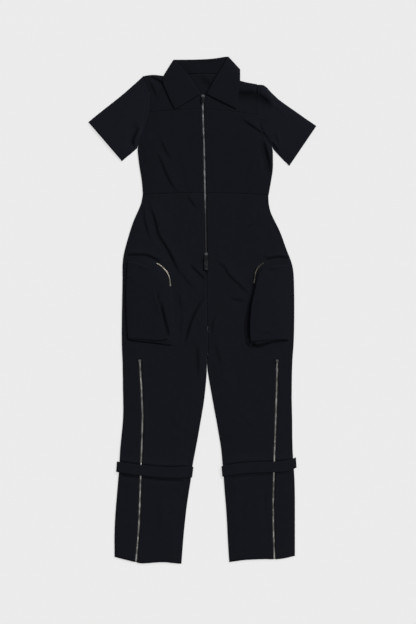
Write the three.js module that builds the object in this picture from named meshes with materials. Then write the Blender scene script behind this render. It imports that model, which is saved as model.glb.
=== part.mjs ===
// A short-sleeved jumpsuit, laid out flat on its back with its front up.
// Millimetres. X runs across the garment, Y from the hems to the collar, Z up from the surface it lies on.
// Right and left are the wearer's, so the right half is at -X.

import * as THREE from 'three';

// Cloth and the clearances between pieces
const CLOTH = 1.3;
const GAP = 0.3;
const HALF_GAP = GAP / 2;
const AIR = 2; // how far the front stands off the back, away from the edges
const AIR_REACH = 36; // how far in from an edge the front takes to rise
const CROTCH_REACH = 110; // how far above the split the inner edges of the legs have merged
const ARMHOLE_REACH = 150; // a sleeve rises this much more slowly away from its armhole
const TUBE_AIR = 0.6; // the least room inside a flattened sleeve

// Lengths along the garment
const WAIST = 347;
const WAIST_DIP = 7; // how much lower the waist seam runs at the side seams
const WAIST_HALF = 186;
const YOKE_SEAM = 595;
const ZIP_TOP = 638;
const ZIP_END = 116;
const SPLIT = -150; // where the legs part
const LEG_ZIP_TOP = -146;
const HEM = -746;
const COLLAR_LAP = 684; // the fall of the collar lies under the back from here up
const LAP_RAMP = 26;

// Zips, straps and pockets
const CHAIN_WIDTH = 6.8;
const CHAIN_THICK = 2;
const CHAIN_PROUD = 0.5;
const SLOT_HALF = CHAIN_WIDTH / 2 + GAP;
const STRAP_WIDTH = 31;
const STRAP_THICK = 1.8;
const STRAP_RAMP = 34;
const STRAP_MARGIN = 2; // how far past its strap the cloth stays fully raised
const STRAP_SLACK = { outer: 8, inner: 3.5 };
const STRAP_LEVEL = { right: -474, left: -468 };
const POCKET_SEAT = 0.5; // the bellows' clearance over the folds below them
const POCKET_ZIP_START = 1.5; // how far up the bellows the pocket's zip begins
const POCKET_ZIP_WIDTH = 4.4;
const POCKET_ZIP_THICK = 1.2;

const cloth = new THREE.MeshStandardMaterial({ color: 0x16171c, roughness: 0.9, metalness: 0 });
const strapCloth = new THREE.MeshStandardMaterial({ color: 0x14151a, roughness: 0.85, metalness: 0 });
const zipMetal = new THREE.MeshStandardMaterial({ color: 0x9c9da0, roughness: 0.35, metalness: 1 });
const darkMetal = new THREE.MeshStandardMaterial({ color: 0x4a4b50, roughness: 0.4, metalness: 1 });

// The outer and inner edges of both legs, from the waist seam to the hems.
// Above the split both inner edges are the centre line.
const LEGS = [
  { y: 350, rightSide: -176.5, rightInner: 7.8, leftInner: 7.8, leftSide: 195.5 },
  { y: 326, rightSide: -177, rightInner: 8.6, leftInner: 8.6, leftSide: 195.5 },
  { y: 302, rightSide: -185.5, rightInner: 9.2, leftInner: 9.2, leftSide: 197.5 },
  { y: 279, rightSide: -197.5, rightInner: 9.5, leftInner: 9.5, leftSide: 206 },
  { y: 255, rightSide: -206.5, rightInner: 9.8, leftInner: 9.8, leftSide: 219 },
  { y: 231, rightSide: -214.5, rightInner: 10.2, leftInner: 10.2, leftSide: 231 },
  { y: 208, rightSide: -221, rightInner: 10.8, leftInner: 10.8, leftSide: 239 },
  { y: 184, rightSide: -228, rightInner: 11.1, leftInner: 11.1, leftSide: 247 },
  { y: 160, rightSide: -233.5, rightInner: 11.8, leftInner: 11.8, leftSide: 256.5 },
  { y: 137, rightSide: -236, rightInner: 12.4, leftInner: 12.4, leftSide: 266 },
  { y: 89, rightSide: -236, rightInner: 13, leftInner: 13, leftSide: 271 },
  { y: -29, rightSide: -238, rightInner: 14.5, leftInner: 14.5, leftSide: 272 },
  { y: -103, rightSide: -238, rightInner: 18, leftInner: 18, leftSide: 270 },
  { y: -150, rightSide: -236, rightInner: 13.6, leftInner: 13.6, leftSide: 266 },
  { y: -174, rightSide: -235, rightInner: 13.8, leftInner: 14.1, leftSide: 265 },
  { y: -197, rightSide: -235, rightInner: 12.6, leftInner: 18.2, leftSide: 265 },
  { y: -221, rightSide: -235, rightInner: 10.4, leftInner: 23, leftSide: 265 },
  { y: -269, rightSide: -234, rightInner: 5.3, leftInner: 31, leftSide: 264 },
  { y: -316, rightSide: -233, rightInner: -3, leftInner: 40, leftSide: 266 },
  { y: -363, rightSide: -238, rightInner: -11, leftInner: 49, leftSide: 266 },
  { y: -411, rightSide: -243, rightInner: -20, leftInner: 56, leftSide: 267 },
  { y: -458, rightSide: -245, rightInner: -29, leftInner: 60, leftSide: 270 },
  { y: -506, rightSide: -249, rightInner: -35, leftInner: 64, leftSide: 273 },
  { y: -553, rightSide: -253, rightInner: -43, leftInner: 67, leftSide: 274 },
  { y: -600, rightSide: -257, rightInner: -49, leftInner: 72, leftSide: 274 },
  { y: -648, rightSide: -260, rightInner: -54, leftInner: 74, leftSide: 274 },
  { y: -695, rightSide: -260, rightInner: -58, leftInner: 76, leftSide: 274 },
  { y: -750, rightSide: -259, rightInner: -62, leftInner: 80, leftSide: 274 },
];

// The side seams and armholes of the bodice, from the waist seam to the shoulders
const BODICE = [
  { y: 340, right: -176, left: 196 },
  { y: 385, right: -179, left: 204 },
  { y: 421, right: -186, left: 210 },
  { y: 445, right: -188, left: 208 },
  { y: 479, right: -193, left: 209 },
  { y: 527, right: -176, left: 179 },
  { y: 578, right: -158, left: 165 },
  { y: 637, right: -155, left: 163 },
  { y: 690, right: -176, left: 162 },
];

// The hems, across both legs
const HEMS = [
  { x: -262, y: -729 },
  { x: -240, y: -735 },
  { x: -210, y: -742 },
  { x: -182, y: -749 },
  { x: -150, y: -747 },
  { x: -113, y: -745 },
  { x: -62, y: -750 },
  { x: 80, y: -745 },
  { x: 121, y: -739 },
  { x: 190, y: -736 },
  { x: 214, y: -737 },
  { x: 245, y: -733.5 },
  { x: 276, y: -726 },
];

// The tops of the shoulders and the back of the neck, across the garment
const SHOULDERS = [
  { x: -178, y: 692 },
  { x: -146, y: 696 },
  { x: -107, y: 692 },
  { x: -88, y: 692 },
  { x: -40, y: 698 },
  { x: 5, y: 700 },
  { x: 55, y: 698 },
  { x: 92, y: 688 },
  { x: 115, y: 677 },
  { x: 163, y: 668 },
];

// The centre line of the front zip, and of both leg zips
const FRONT_ZIP = [
  { y: 640, x: 2.7 },
  { y: 601, x: 1.7 },
  { y: 566, x: 2.4 },
  { y: 530, x: 3.7 },
  { y: 495, x: 5.4 },
  { y: 424, x: 6.5 },
  { y: 353, x: 7.8 },
  { y: 282, x: 9.5 },
  { y: 211, x: 10.8 },
  { y: 110, x: 12.6 },
];
const LEG_ZIPS = [
  { y: -140, right: -185, left: 221.5 },
  { y: -189, right: -182.8, left: 220.8 },
  { y: -230, right: -180, left: 219.8 },
  { y: -313, right: -176.5, left: 217.6 },
  { y: -396, right: -178.8, left: 214.4 },
  { y: -479, right: -182, left: 212 },
  { y: -562, right: -184.4, left: 209.6 },
  { y: -645, right: -188, left: 210.3 },
  { y: -750, right: -197, left: 213.5 },
];

// The middle of each leg strap, from the outer edge of its leg to the inner edge
const STRAPS = {
  right: [
    { x: -256, y: -462 },
    { x: -232, y: -467 },
    { x: -181, y: -473 },
    { x: -112, y: -480 },
    { x: -26, y: -479 },
  ],
  left: [
    { x: 58, y: -477 },
    { x: 124, y: -467 },
    { x: 200, y: -464 },
    { x: 254, y: -460 },
    { x: 278, y: -450 },
  ],
};

// The largest folds of the front, as soft ridges (height over 0) and troughs (below 0).
// bend is how far the middle of the fold lies off its straight line, to its left.
const FOLDS = [
  { name: 'right shoulder, inner', x0: -153, y0: 682, x1: -117, y1: 662, bend: 2, width: 7, height: -1 },
  { name: 'right shoulder to chest', x0: -151, y0: 679, x1: -129, y1: 625, bend: 5, width: 9, height: 1.6 },
  { name: 'left shoulder, upper', x0: 107, y0: 641, x1: 157, y1: 651, bend: 3, width: 9, height: 1.8 },
  { name: 'left shoulder, lower', x0: 160, y0: 640, x1: 210, y1: 612, bend: -4, width: 9, height: 3 },
  { name: 'right bust', x0: -113, y0: 508, x1: -85, y1: 456, bend: 3, width: 10, height: 2.2 },
  { name: 'right side of bodice', x0: -125, y0: 462, x1: -69, y1: 350, bend: 6, width: 12, height: 2.6 },
  { name: 'right of the zip at the waist', x0: -40, y0: 348, x1: -8, y1: 304, bend: 4, width: 9, height: 2 },
  { name: 'left bust', x0: 135, y0: 557, x1: 199, y1: 507, bend: 4, width: 11, height: 3 },
  { name: 'left underarm', x0: 190, y0: 487, x1: 199, y1: 425, bend: 2, width: 9, height: 2.6 },
  { name: 'right sleeve underarm', x0: -194, y0: 531, x1: -202, y1: 491, bend: 2, width: 8, height: 1.8 },
  { name: 'left sleeve underarm', x0: 220, y0: 522, x1: 220, y1: 482, bend: 3, width: 8, height: 2 },
  { name: 'left sleeve cap', x0: 207, y0: 628, x1: 269, y1: 574, bend: 6, width: 14, height: 1.8 },
  { name: 'right sleeve cap', x0: -203, y0: 645, x1: -269, y1: 591, bend: -5, width: 14, height: 1.5 },
  { name: 'right hip, upper', x0: -142, y0: 310, x1: -102, y1: 200, bend: 8, width: 13, height: 3.4 },
  { name: 'right hip, lower', x0: -103, y0: 203, x1: -49, y1: 97, bend: 5, width: 13, height: 3 },
  { name: 'right of the fly', x0: -43, y0: 136, x1: -3, y1: 82, bend: 3, width: 9, height: -1.4 },
  { name: 'left hip', x0: 182, y0: 297, x1: 122, y1: 205, bend: -6, width: 15, height: 1.8 },
  { name: 'left thigh', x0: 50, y0: 153, x1: 122, y1: 76, bend: -5, width: 12, height: 3 },
  { name: 'left thigh, lower', x0: 64, y0: 28, x1: 132, y1: 20, bend: -3, width: 10, height: -1.4 },
  { name: 'right crotch', x0: 3, y0: 26, x1: -49, y1: -102, bend: 9, width: 12, height: 2.8 },
  { name: 'left crotch', x0: 60, y0: -8, x1: 32, y1: -48, bend: -3, width: 9, height: 2 },
  { name: 'right inner thigh', x0: -12, y0: -100, x1: -6, y1: -196, bend: 3, width: 10, height: 2.2 },
  { name: 'left inner thigh', x0: 54, y0: -120, x1: 68, y1: -186, bend: -3, width: 10, height: 2 },
  { name: 'right knee', x0: -110, y0: -292, x1: -50, y1: -364, bend: 5, width: 16, height: 1.4 },
  { name: 'left knee', x0: 100, y0: -314, x1: 160, y1: -388, bend: -5, width: 16, height: 1.4 },
  { name: 'right shin', x0: -126, y0: -518, x1: -104, y1: -688, bend: -6, width: 18, height: 1.6 },
  { name: 'left shin', x0: 150, y0: -519, x1: 164, y1: -699, bend: 6, width: 18, height: 1.6 },
];

// Each pocket's four sides. foot is where the bellows are sewn to the leg, rim the edge of the pocket's
// face, and rise how high the face stands there. The top side curves round the cut-off inner corner.
const POCKETS = {
  right: {
    top: [
      { footX: -226, footY: 157, rimX: -220, rimY: 145, rise: 2.5 },
      { footX: -196, footY: 159, rimX: -195, rimY: 142, rise: 5 },
      { footX: -167, footY: 157, rimX: -171, rimY: 134, rise: 8 },
      { footX: -146, footY: 149, rimX: -152, rimY: 125, rise: 9 },
      { footX: -124, footY: 136, rimX: -137, rimY: 113, rise: 9.5 },
      { footX: -105, footY: 119, rimX: -126, rimY: 99, rise: 9.5 },
      { footX: -95, footY: 99, rimX: -122, rimY: 85, rise: 9.5 },
      { footX: -92, footY: 74, rimX: -124, rimY: 72, rise: 9.5 },
    ],
    inner: [
      { footX: -92, footY: 74, rimX: -124, rimY: 72, rise: 9.5 },
      { footX: -90, footY: 40, rimX: -125.5, rimY: 42, rise: 9.2 },
      { footX: -88, footY: 5, rimX: -123, rimY: 5, rise: 8.6 },
      { footX: -85, footY: -30, rimX: -116, rimY: -27, rise: 7.8 },
      { footX: -82, footY: -65, rimX: -109, rimY: -55, rise: 7 },
      { footX: -79, footY: -106, rimX: -102, rimY: -85, rise: 5.5 },
    ],
    bottom: [
      { footX: -223, footY: -91, rimX: -220, rimY: -84, rise: 2.2 },
      { footX: -170, footY: -96, rimX: -170, rimY: -88, rise: 3.2 },
      { footX: -120, footY: -102, rimX: -128, rimY: -90, rise: 4.5 },
      { footX: -79, footY: -106, rimX: -102, rimY: -85, rise: 5.5 },
    ],
    outer: [
      { footX: -226, footY: 157, rimX: -220, rimY: 145, rise: 2.5 },
      { footX: -229, footY: 89, rimX: -225, rimY: 87, rise: 2.4 },
      { footX: -229, footY: 0, rimX: -225, rimY: 0, rise: 2.4 },
      { footX: -223, footY: -91, rimX: -220, rimY: -84, rise: 2.2 },
    ],
  },
  left: {
    top: [
      { footX: 149, footY: 76, rimX: 158, rimY: 70, rise: 8 },
      { footX: 152, footY: 97, rimX: 161, rimY: 89, rise: 8.5 },
      { footX: 153.5, footY: 114, rimX: 166, rimY: 104, rise: 9 },
      { footX: 161, footY: 132, rimX: 173, rimY: 118, rise: 9 },
      { footX: 178, footY: 142, rimX: 187, rimY: 127, rise: 8 },
      { footX: 202, footY: 149, rimX: 208, rimY: 131, rise: 6.5 },
      { footX: 230, footY: 153, rimX: 231, rimY: 134, rise: 4.5 },
      { footX: 261, footY: 148, rimX: 257, rimY: 134, rise: 2.5 },
    ],
    inner: [
      { footX: 149, footY: 76, rimX: 158, rimY: 70, rise: 8 },
      { footX: 144, footY: 42, rimX: 150, rimY: 40, rise: 9 },
      { footX: 131, footY: 4, rimX: 144, rimY: 2, rise: 9.5 },
      { footX: 124, footY: -38, rimX: 141, rimY: -36, rise: 9.5 },
      { footX: 124, footY: -74, rimX: 141, rimY: -68, rise: 9 },
      { footX: 131, footY: -105, rimX: 143, rimY: -92, rise: 8 },
    ],
    bottom: [
      { footX: 131, footY: -105, rimX: 143, rimY: -92, rise: 8 },
      { footX: 150, footY: -112, rimX: 158, rimY: -92, rise: 7.5 },
      { footX: 174, footY: -110, rimX: 176, rimY: -90, rise: 6.5 },
      { footX: 203, footY: -98, rimX: 205, rimY: -88, rise: 5 },
      { footX: 232, footY: -95, rimX: 232, rimY: -87, rise: 3.6 },
      { footX: 259, footY: -95, rimX: 255, rimY: -88, rise: 2.4 },
    ],
    outer: [
      { footX: 261, footY: 148, rimX: 257, rimY: 134, rise: 2.5 },
      { footX: 264, footY: 89, rimX: 259, rimY: 87, rise: 2.4 },
      { footX: 264, footY: 0, rimX: 259, rimY: 0, rise: 2.4 },
      { footX: 259, footY: -95, rimX: 255, rimY: -88, rise: 2.4 },
    ],
  },
};
const POCKET_ACROSS = 8;
const POCKET_ALONG = 7;
const FACE_CROWN = 1.5;

// The fall of the collar, round the neck from the right point, behind the neck, to the left point.
// roll is where it turns over the stand, edge its free edge, and the heights are of its middle layer.
const FALL = [
  { rollX: -5, rollY: 640, rollZ: 7, edgeX: -81, edgeY: 593, edgeZ: 6.2 },
  { rollX: -17, rollY: 656, rollZ: 8, edgeX: -91, edgeY: 610, edgeZ: 6.4 },
  { rollX: -30, rollY: 680, rollZ: 8.8, edgeX: -101, edgeY: 632, edgeZ: 6.8 },
  { rollX: -48, rollY: 702, rollZ: 9.2, edgeX: -110, edgeY: 654, edgeZ: 7.2 },
  { rollX: -63, rollY: 719, rollZ: 9.2, edgeX: -117, edgeY: 671, edgeZ: 7.8 },
  { rollX: -76, rollY: 732, rollZ: 8.4, edgeX: -118, edgeY: 684, edgeZ: 7.4 },
  { rollX: -86, rollY: 739, rollZ: 6, edgeX: -113.5, edgeY: 695, edgeZ: 4.2 },
  { rollX: -82, rollY: 741, rollZ: 3, edgeX: -109, edgeY: 698, edgeZ: 1.3 },
  { rollX: -66, rollY: 741, rollZ: 1.9, edgeX: -88, edgeY: 694, edgeZ: 0.65 },
  { rollX: -34, rollY: 741.2, rollZ: 1.9, edgeX: -45, edgeY: 692, edgeZ: 0.65 },
  { rollX: 0, rollY: 742, rollZ: 1.9, edgeX: 0, edgeY: 692, edgeZ: 0.65 },
  { rollX: 32, rollY: 744, rollZ: 1.9, edgeX: 40, edgeY: 692, edgeZ: 0.65 },
  { rollX: 54, rollY: 747.5, rollZ: 1.9, edgeX: 78, edgeY: 694, edgeZ: 0.65 },
  { rollX: 68, rollY: 750, rollZ: 3, edgeX: 104, edgeY: 706, edgeZ: 1.3 },
  { rollX: 77, rollY: 749, rollZ: 6, edgeX: 111.5, edgeY: 712, edgeZ: 4.2 },
  { rollX: 71, rollY: 741, rollZ: 8.4, edgeX: 112, edgeY: 696, edgeZ: 7.4 },
  { rollX: 61, rollY: 720, rollZ: 9.2, edgeX: 112, edgeY: 678, edgeZ: 7.8 },
  { rollX: 46, rollY: 700, rollZ: 9.2, edgeX: 110, edgeY: 660, edgeZ: 7.2 },
  { rollX: 33, rollY: 676, rollZ: 8.8, edgeX: 105, edgeY: 638, edgeZ: 6.8 },
  { rollX: 22, rollY: 657, rollZ: 8, edgeX: 105, edgeY: 616, edgeZ: 6.4 },
  { rollX: 12, rollY: 639, rollZ: 7, edgeX: 100, edgeY: 595, edgeZ: 6.2 },
];
const FALL_ARCH = 0.8; // how far the front of the fall arches up between its roll and its edge
const FALL_FRONT = 6; // the roll stands higher than this wherever the fall lies over the front

// The stand of the collar, from the right front edge, behind the neck, to the left front edge
const STAND = [
  { seamX: -8, seamY: 645, seamZ: 4.6, rollX: -13, rollY: 657, rollZ: 5.6 },
  { seamX: -38, seamY: 656, seamZ: 4.6, rollX: -28, rollY: 678, rollZ: 5.8 },
  { seamX: -66, seamY: 675, seamZ: 4.6, rollX: -49, rollY: 698, rollZ: 6 },
  { seamX: -84, seamY: 696, seamZ: 4.4, rollX: -72, rollY: 725, rollZ: 5.6 },
  { seamX: -82, seamY: 700, seamZ: 3.4, rollX: -74, rollY: 733, rollZ: 4.6 },
  { seamX: -66, seamY: 696.8, seamZ: 2.5, rollX: -62, rollY: 735, rollZ: 3.8 },
  { seamX: -33, seamY: 700.2, seamZ: 2.3, rollX: -32, rollY: 737, rollZ: 3.8 },
  { seamX: 0, seamY: 701, seamZ: 2.3, rollX: 0, rollY: 738, rollZ: 3.8 },
  { seamX: 33, seamY: 700.4, seamZ: 2.3, rollX: 30, rollY: 739, rollZ: 3.8 },
  { seamX: 66, seamY: 697.2, seamZ: 2.5, rollX: 52, rollY: 742, rollZ: 3.8 },
  { seamX: 86, seamY: 696, seamZ: 3.4, rollX: 66, rollY: 740, rollZ: 4.6 },
  { seamX: 86, seamY: 690, seamZ: 4.4, rollX: 65, rollY: 731, rollZ: 5.6 },
  { seamX: 70, seamY: 671, seamZ: 4.6, rollX: 47, rollY: 697, rollZ: 6 },
  { seamX: 44, seamY: 654, seamZ: 4.6, rollX: 32, rollY: 674, rollZ: 5.8 },
  { seamX: 15, seamY: 645, seamZ: 4.6, rollX: 20, rollY: 655, rollZ: 5.6 },
];

// The cuffs of the sleeves, from the top edge of the sleeve to the underarm edge
const CUFFS = {
  right: { top: [-338, 557.5], under: [-237, 440] },
  left: { top: [338, 546], under: [256.5, 426] },
};
const SLEEVE_ROWS = [0, 0.07, 0.14, 0.22, 0.36, 0.56, 0.78, 1]; // from the armhole to the cuff
// How far the upper edge of a sleeve rises over a straight line, and where along it
const CAPS = { right: { rise: -3.5, at: 0.4, spread: 0.25 }, left: { rise: 15, at: 0.13, spread: 0.085 } };
const FOLD_EDGE = 3.5; // how far in from a folded edge a sleeve is full height

// Sliders and pull tabs
const SLIDER = { half: 5, length: 13, thick: 2.2, nose: 3.2 };
const SLIDER_SHAPE = { nose: 0.6, waist: 0.8, tail: 0.7 }; // shares of the nose and of the half width
const SLIDER_SEAT = 0.5; // how far a front slider lies above the chain
const BAIL = { width: 2.6, inner: 2.2, outer: 3.3, axisAbove: 1.15, steps: 8 };
const TAB = {
  thick: 1.2, bar: 1.2, eyeWidth: 3.4, eyeLength: 3.6, eyeArm: 1.7, neck: 1.8, slope: 3, corner: 2,
};
const TABS = {
  upper: { y: 630, reach: 17, width: 9.5 },
  lower: { y: 163, reach: 44, width: 11 },
};
const LEG_SLIDER = { half: 4, length: 10, thick: 3, nose: 2.4 };

const point = (x, y, z) => new THREE.Vector3(x, y, z);
const mix = THREE.MathUtils.lerp;

function smoothStep(value) {
  const t = THREE.MathUtils.clamp(value, 0, 1);
  return t * t * (3 - 2 * t);
}

// The value of a table's column at a place along its key column, on a smooth curve through the rows
function read(table, column, place, key = 'y') {
  const rising = table[table.length - 1][key] > table[0][key];
  const rows = rising ? table : [...table].reverse();
  const last = rows.length - 1;
  const at = THREE.MathUtils.clamp(place, rows[0][key], rows[last][key]);
  let i = 0;
  while (i < last - 1 && rows[i + 1][key] < at) i += 1;
  const slope = (k) => {
    const low = rows[Math.max(k - 1, 0)];
    const high = rows[Math.min(k + 1, last)];
    return (high[column] - low[column]) / (high[key] - low[key]);
  };
  const step = rows[i + 1][key] - rows[i][key];
  const t = (at - rows[i][key]) / step;
  const [a, b] = [rows[i][column], rows[i + 1][column]];
  const [m, n] = [slope(i) * step, slope(i + 1) * step];
  return a + t * (m + t * (3 * (b - a) - 2 * m - n + t * (2 * (a - b) + m + n)));
}

// Points along a smooth curve through a few points, evenly spaced
function along(points, count) {
  const curve = new THREE.SplineCurve(points.map(([x, y]) => new THREE.Vector2(x, y)));
  return curve.getSpacedPoints(count);
}

// Several curves joined end to end, without repeating the shared points
function joined(...curves) {
  return curves.flatMap((curve, i) => (i === 0 ? curve : curve.slice(1)));
}

// How far a point is from a fold's curve, and how far along it the nearest place is, from 0 to 1
function nearFold(fold, x, y) {
  const [dx, dy] = [fold.x1 - fold.x0, fold.y1 - fold.y0];
  const length = Math.hypot(dx, dy);
  const t = ((x - fold.x0) * dx + (y - fold.y0) * dy) / (length * length);
  const side = ((y - fold.y0) * dx - (x - fold.x0) * dy) / length;
  const arc = 4 * fold.bend * t * (1 - t);
  return { off: side - arc, t };
}

function foldHeight(x, y) {
  let height = 0;
  for (const fold of FOLDS) {
    const { off, t } = nearFold(fold, x, y);
    if (t > 0 && t < 1 && Math.abs(off) < 3 * fold.width) {
      const taper = Math.sin(Math.PI * t) ** 0.7;
      height += fold.height * taper * Math.exp(-((off / fold.width) ** 2));
    }
  }
  return height;
}

const centreLine = (y) => (y > WAIST ? read(FRONT_ZIP, 'x', y) : read(LEGS, 'rightInner', y));

// How far a point of the front lies inside the garment's nearest folded edge
function edgeDistance(x, y) {
  if (y > WAIST) {
    const sides = Math.min(x - read(BODICE, 'right', y), read(BODICE, 'left', y) - x);
    return Math.max(0, Math.min(sides, read(SHOULDERS, 'y', x, 'x') - y));
  }
  const isRight = x < (read(LEGS, 'rightInner', y) + read(LEGS, 'leftInner', y)) / 2;
  const outer = isRight ? x - read(LEGS, 'rightSide', y) : read(LEGS, 'leftSide', y) - x;
  const inner = isRight ? read(LEGS, 'rightInner', y) - x : x - read(LEGS, 'leftInner', y);
  const joinedAbove = AIR_REACH * smoothStep((y - SPLIT) / CROTCH_REACH);
  return Math.max(0, Math.min(outer, inner + joinedAbove));
}

function strapLift(x, y) {
  const table = x < read(LEGS, 'rightInner', y) ? STRAPS.right : STRAPS.left;
  const off = Math.abs(y - read(table, 'y', x, 'x')) - STRAP_WIDTH / 2 - STRAP_MARGIN;
  return (STRAP_THICK + GAP) * (1 - smoothStep(off / STRAP_RAMP));
}

const collarLift = (y) => (CLOTH + GAP) * smoothStep((y - COLLAR_LAP + LAP_RAMP) / LAP_RAMP);

// Heights of the layers: under and top sides of the back, then of the front
const backUnder = (x, y) => (y > WAIST ? collarLift(y) : strapLift(x, y));

function topOf(under) {
  return (x, y) => {
    const slopeX = (under(x + 1, y) - under(x - 1, y)) / 2;
    const slopeY = (under(x, y + 1) - under(x, y - 1)) / 2;
    return under(x, y) + CLOTH * Math.hypot(1, slopeX, slopeY);
  };
}
const backTop = topOf(backUnder);

function frontUnder(x, y) {
  const edge = edgeDistance(x, y);
  const inside = smoothStep(edge / AIR_REACH);
  const relief = AIR * inside + foldHeight(x, y) * smoothStep(edge / (AIR_REACH / 2));
  return backTop(x, y) + GAP + Math.max(0, relief);
}
const frontTop = topOf(frontUnder);

// A closed wall between two matching grids of points. A grid is a list of rows; closed grids join each
// row's last point to its first, and cells that keep turns down are left out as openings.
function wall(lower, upper, { closed = false, keep = () => true } = {}) {
  const rows = lower.length;
  const columns = lower[0].length;
  const cells = closed ? columns : columns - 1;
  const positions = [...lower.flat(), ...upper.flat()].flatMap((p) => [p.x, p.y, p.z]);
  const low = (r, c) => r * columns + (c % columns);
  const high = (r, c) => rows * columns + low(r, c);
  const kept = (r, c) => {
    if (r < 0 || r >= rows - 1) return false;
    if (!closed && (c < 0 || c >= cells)) return false;
    return keep(r, (c + cells) % cells);
  };
  const triangles = [];
  const quad = (a, b, c, d) => triangles.push(a, b, c, a, c, d);
  const side = (r0, c0, r1, c1) => quad(high(r1, c1), high(r0, c0), low(r0, c0), low(r1, c1));
  for (let r = 0; r < rows - 1; r += 1) {
    for (let c = 0; c < cells; c += 1) {
      if (!kept(r, c)) continue;
      quad(high(r, c), high(r + 1, c), high(r + 1, c + 1), high(r, c + 1));
      quad(low(r, c), low(r, c + 1), low(r + 1, c + 1), low(r + 1, c));
      if (!kept(r, c - 1)) side(r, c, r + 1, c);
      if (!kept(r + 1, c)) side(r + 1, c, r + 1, c + 1);
      if (!kept(r, c + 1)) side(r + 1, c + 1, r, c + 1);
      if (!kept(r - 1, c)) side(r, c + 1, r, c);
    }
  }
  return solid(positions, triangles);
}

// A geometry whose faces point out, whichever way round its grid was listed
function solid(positions, triangles) {
  const corner = (i) => point(...positions.slice(3 * triangles[i], 3 * triangles[i] + 3));
  let volume = 0;
  for (let i = 0; i < triangles.length; i += 3) {
    volume += corner(i).dot(corner(i + 1).cross(corner(i + 2)));
  }
  const faces = volume > 0 ? triangles : [...triangles].reverse();
  const geometry = new THREE.BufferGeometry();
  geometry.setAttribute('position', new THREE.Float32BufferAttribute(positions, 3));
  geometry.setIndex(faces);
  geometry.computeVertexNormals();
  return geometry;
}

// A panel of cloth over a flat grid, with its under side at the height that under gives
function panel(grid, under, options = {}) {
  const top = topOf(under);
  const lower = grid.map((row) => row.map((p) => point(p.x, p.y, under(p.x, p.y))));
  const upper = grid.map((row) => row.map((p) => point(p.x, p.y, top(p.x, p.y))));
  return wall(lower, upper, options);
}

// The unit normals of a grid of points, from the points on either side of each
function normals(grid, closed = false) {
  const rows = grid.length;
  const columns = grid[0].length;
  const beside = (c, step) => {
    if (closed) return (c + step + columns) % columns;
    return THREE.MathUtils.clamp(c + step, 0, columns - 1);
  };
  return grid.map((row, r) => row.map((_, c) => {
    const across = row[beside(c, 1)].clone().sub(row[beside(c, -1)]);
    const down = grid[Math.min(r + 1, rows - 1)][c].clone().sub(grid[Math.max(r - 1, 0)][c]);
    return down.cross(across).normalize();
  }));
}

// A grid of points moved along their normals
function moved(grid, directions, distance) {
  return grid.map((row, r) => row.map((p, c) => p.clone().addScaledVector(directions[r][c], distance)));
}

// A leaf of cloth, with its middle layer through a grid of points
function leaf(grid) {
  const directions = normals(grid);
  return wall(moved(grid, directions, -CLOTH / 2), moved(grid, directions, CLOTH / 2));
}

// The flat grid that fills four matching edges. Rows run from the top edge to the bottom edge.
function patch({ bottom, top, left, right }) {
  const across = bottom.length - 1;
  const up = left.length - 1;
  const rows = [];
  for (let j = up; j >= 0; j -= 1) {
    const v = j / up;
    const row = [];
    for (let i = 0; i <= across; i += 1) {
      const u = i / across;
      const corner = (axis) => mix(mix(bottom[0][axis], bottom[across][axis], u),
        mix(top[0][axis], top[across][axis], u), v);
      const blend = (axis) => mix(bottom[i][axis], top[i][axis], v) + mix(left[j][axis], right[j][axis], u)
        - corner(axis);
      row.push(new THREE.Vector2(blend('x'), blend('y')));
    }
    rows.push(row);
  }
  return rows;
}

// The same grid with all four edges drawn in by half a seam gap
function drawnIn(grid) {
  const lastRow = grid.length - 1;
  const lastColumn = grid[0].length - 1;
  return grid.map((row, r) => row.map((p, c) => {
    const x = p.x + HALF_GAP * ((c === 0) - (c === lastColumn));
    const y = p.y + HALF_GAP * ((r === lastRow) - (r === 0));
    return new THREE.Vector2(x, y);
  }));
}

const garment = new THREE.Group();

function add(name, geometry, material = cloth) {
  const mesh = new THREE.Mesh(geometry, material);
  mesh.name = name;
  garment.add(mesh);
  return mesh;
}

// Trousers

const waistAt = (x) => WAIST - WAIST_DIP * (x / WAIST_HALF) ** 2;
const hemAt = (x) => read(HEMS, 'y', x, 'x');

// Where a level of the trousers, from the waist seam at 0 to the hem at 1, passes a place across it
const levelAt = (x, nominal) => {
  const v = (WAIST - nominal) / (WAIST - HEM);
  return mix(waistAt(x), hemAt(x), v);
};

const LEG_COLUMNS = { outer: 3, inner: 9 };
const BACK_COLUMNS = 6;
const FRONT_LEVELS = [
  WAIST, 322, 298, 274, 250, 226, 202, 178, 154, 132, ZIP_END, ZIP_END - 6, 90, 66, 42, 18, -6, -30, -54,
  -78, -102, -124, LEG_ZIP_TOP, -170, -200, -240, -280, -320, -362, -402, -430, -452, -470, -488, -506, -530,
  -580, -635, -690, HEM,
];
const BACK_LEVELS = [
  WAIST, 322, 298, 270, 240, 210, 170, ZIP_END, 42, -40, -102, LEG_ZIP_TOP, -200, -260, -320, -402, -430,
  -452, -470, -488, -506, -530, -580, -635, -690, HEM,
];

// The outer edge of a leg at a level, read at the height where the level meets it
function outerEdge(side, nominal) {
  const column = `${side}Side`;
  return read(LEGS, column, levelAt(read(LEGS, column, nominal), nominal));
}

// Both edges of one leg at a level, clear of the other leg and, on the front, of the zip
function legEdges(side, nominal, hasZip) {
  const clear = hasZip && nominal >= ZIP_END ? SLOT_HALF : HALF_GAP;
  if (side === 'right') return [outerEdge(side, nominal), read(LEGS, 'rightInner', nominal) - clear];
  return [read(LEGS, 'leftInner', nominal) + clear, outerEdge(side, nominal)];
}

function spread(from, to, count) {
  return Array.from({ length: count + 1 }, (_, i) => mix(from, to, i / count));
}

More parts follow.
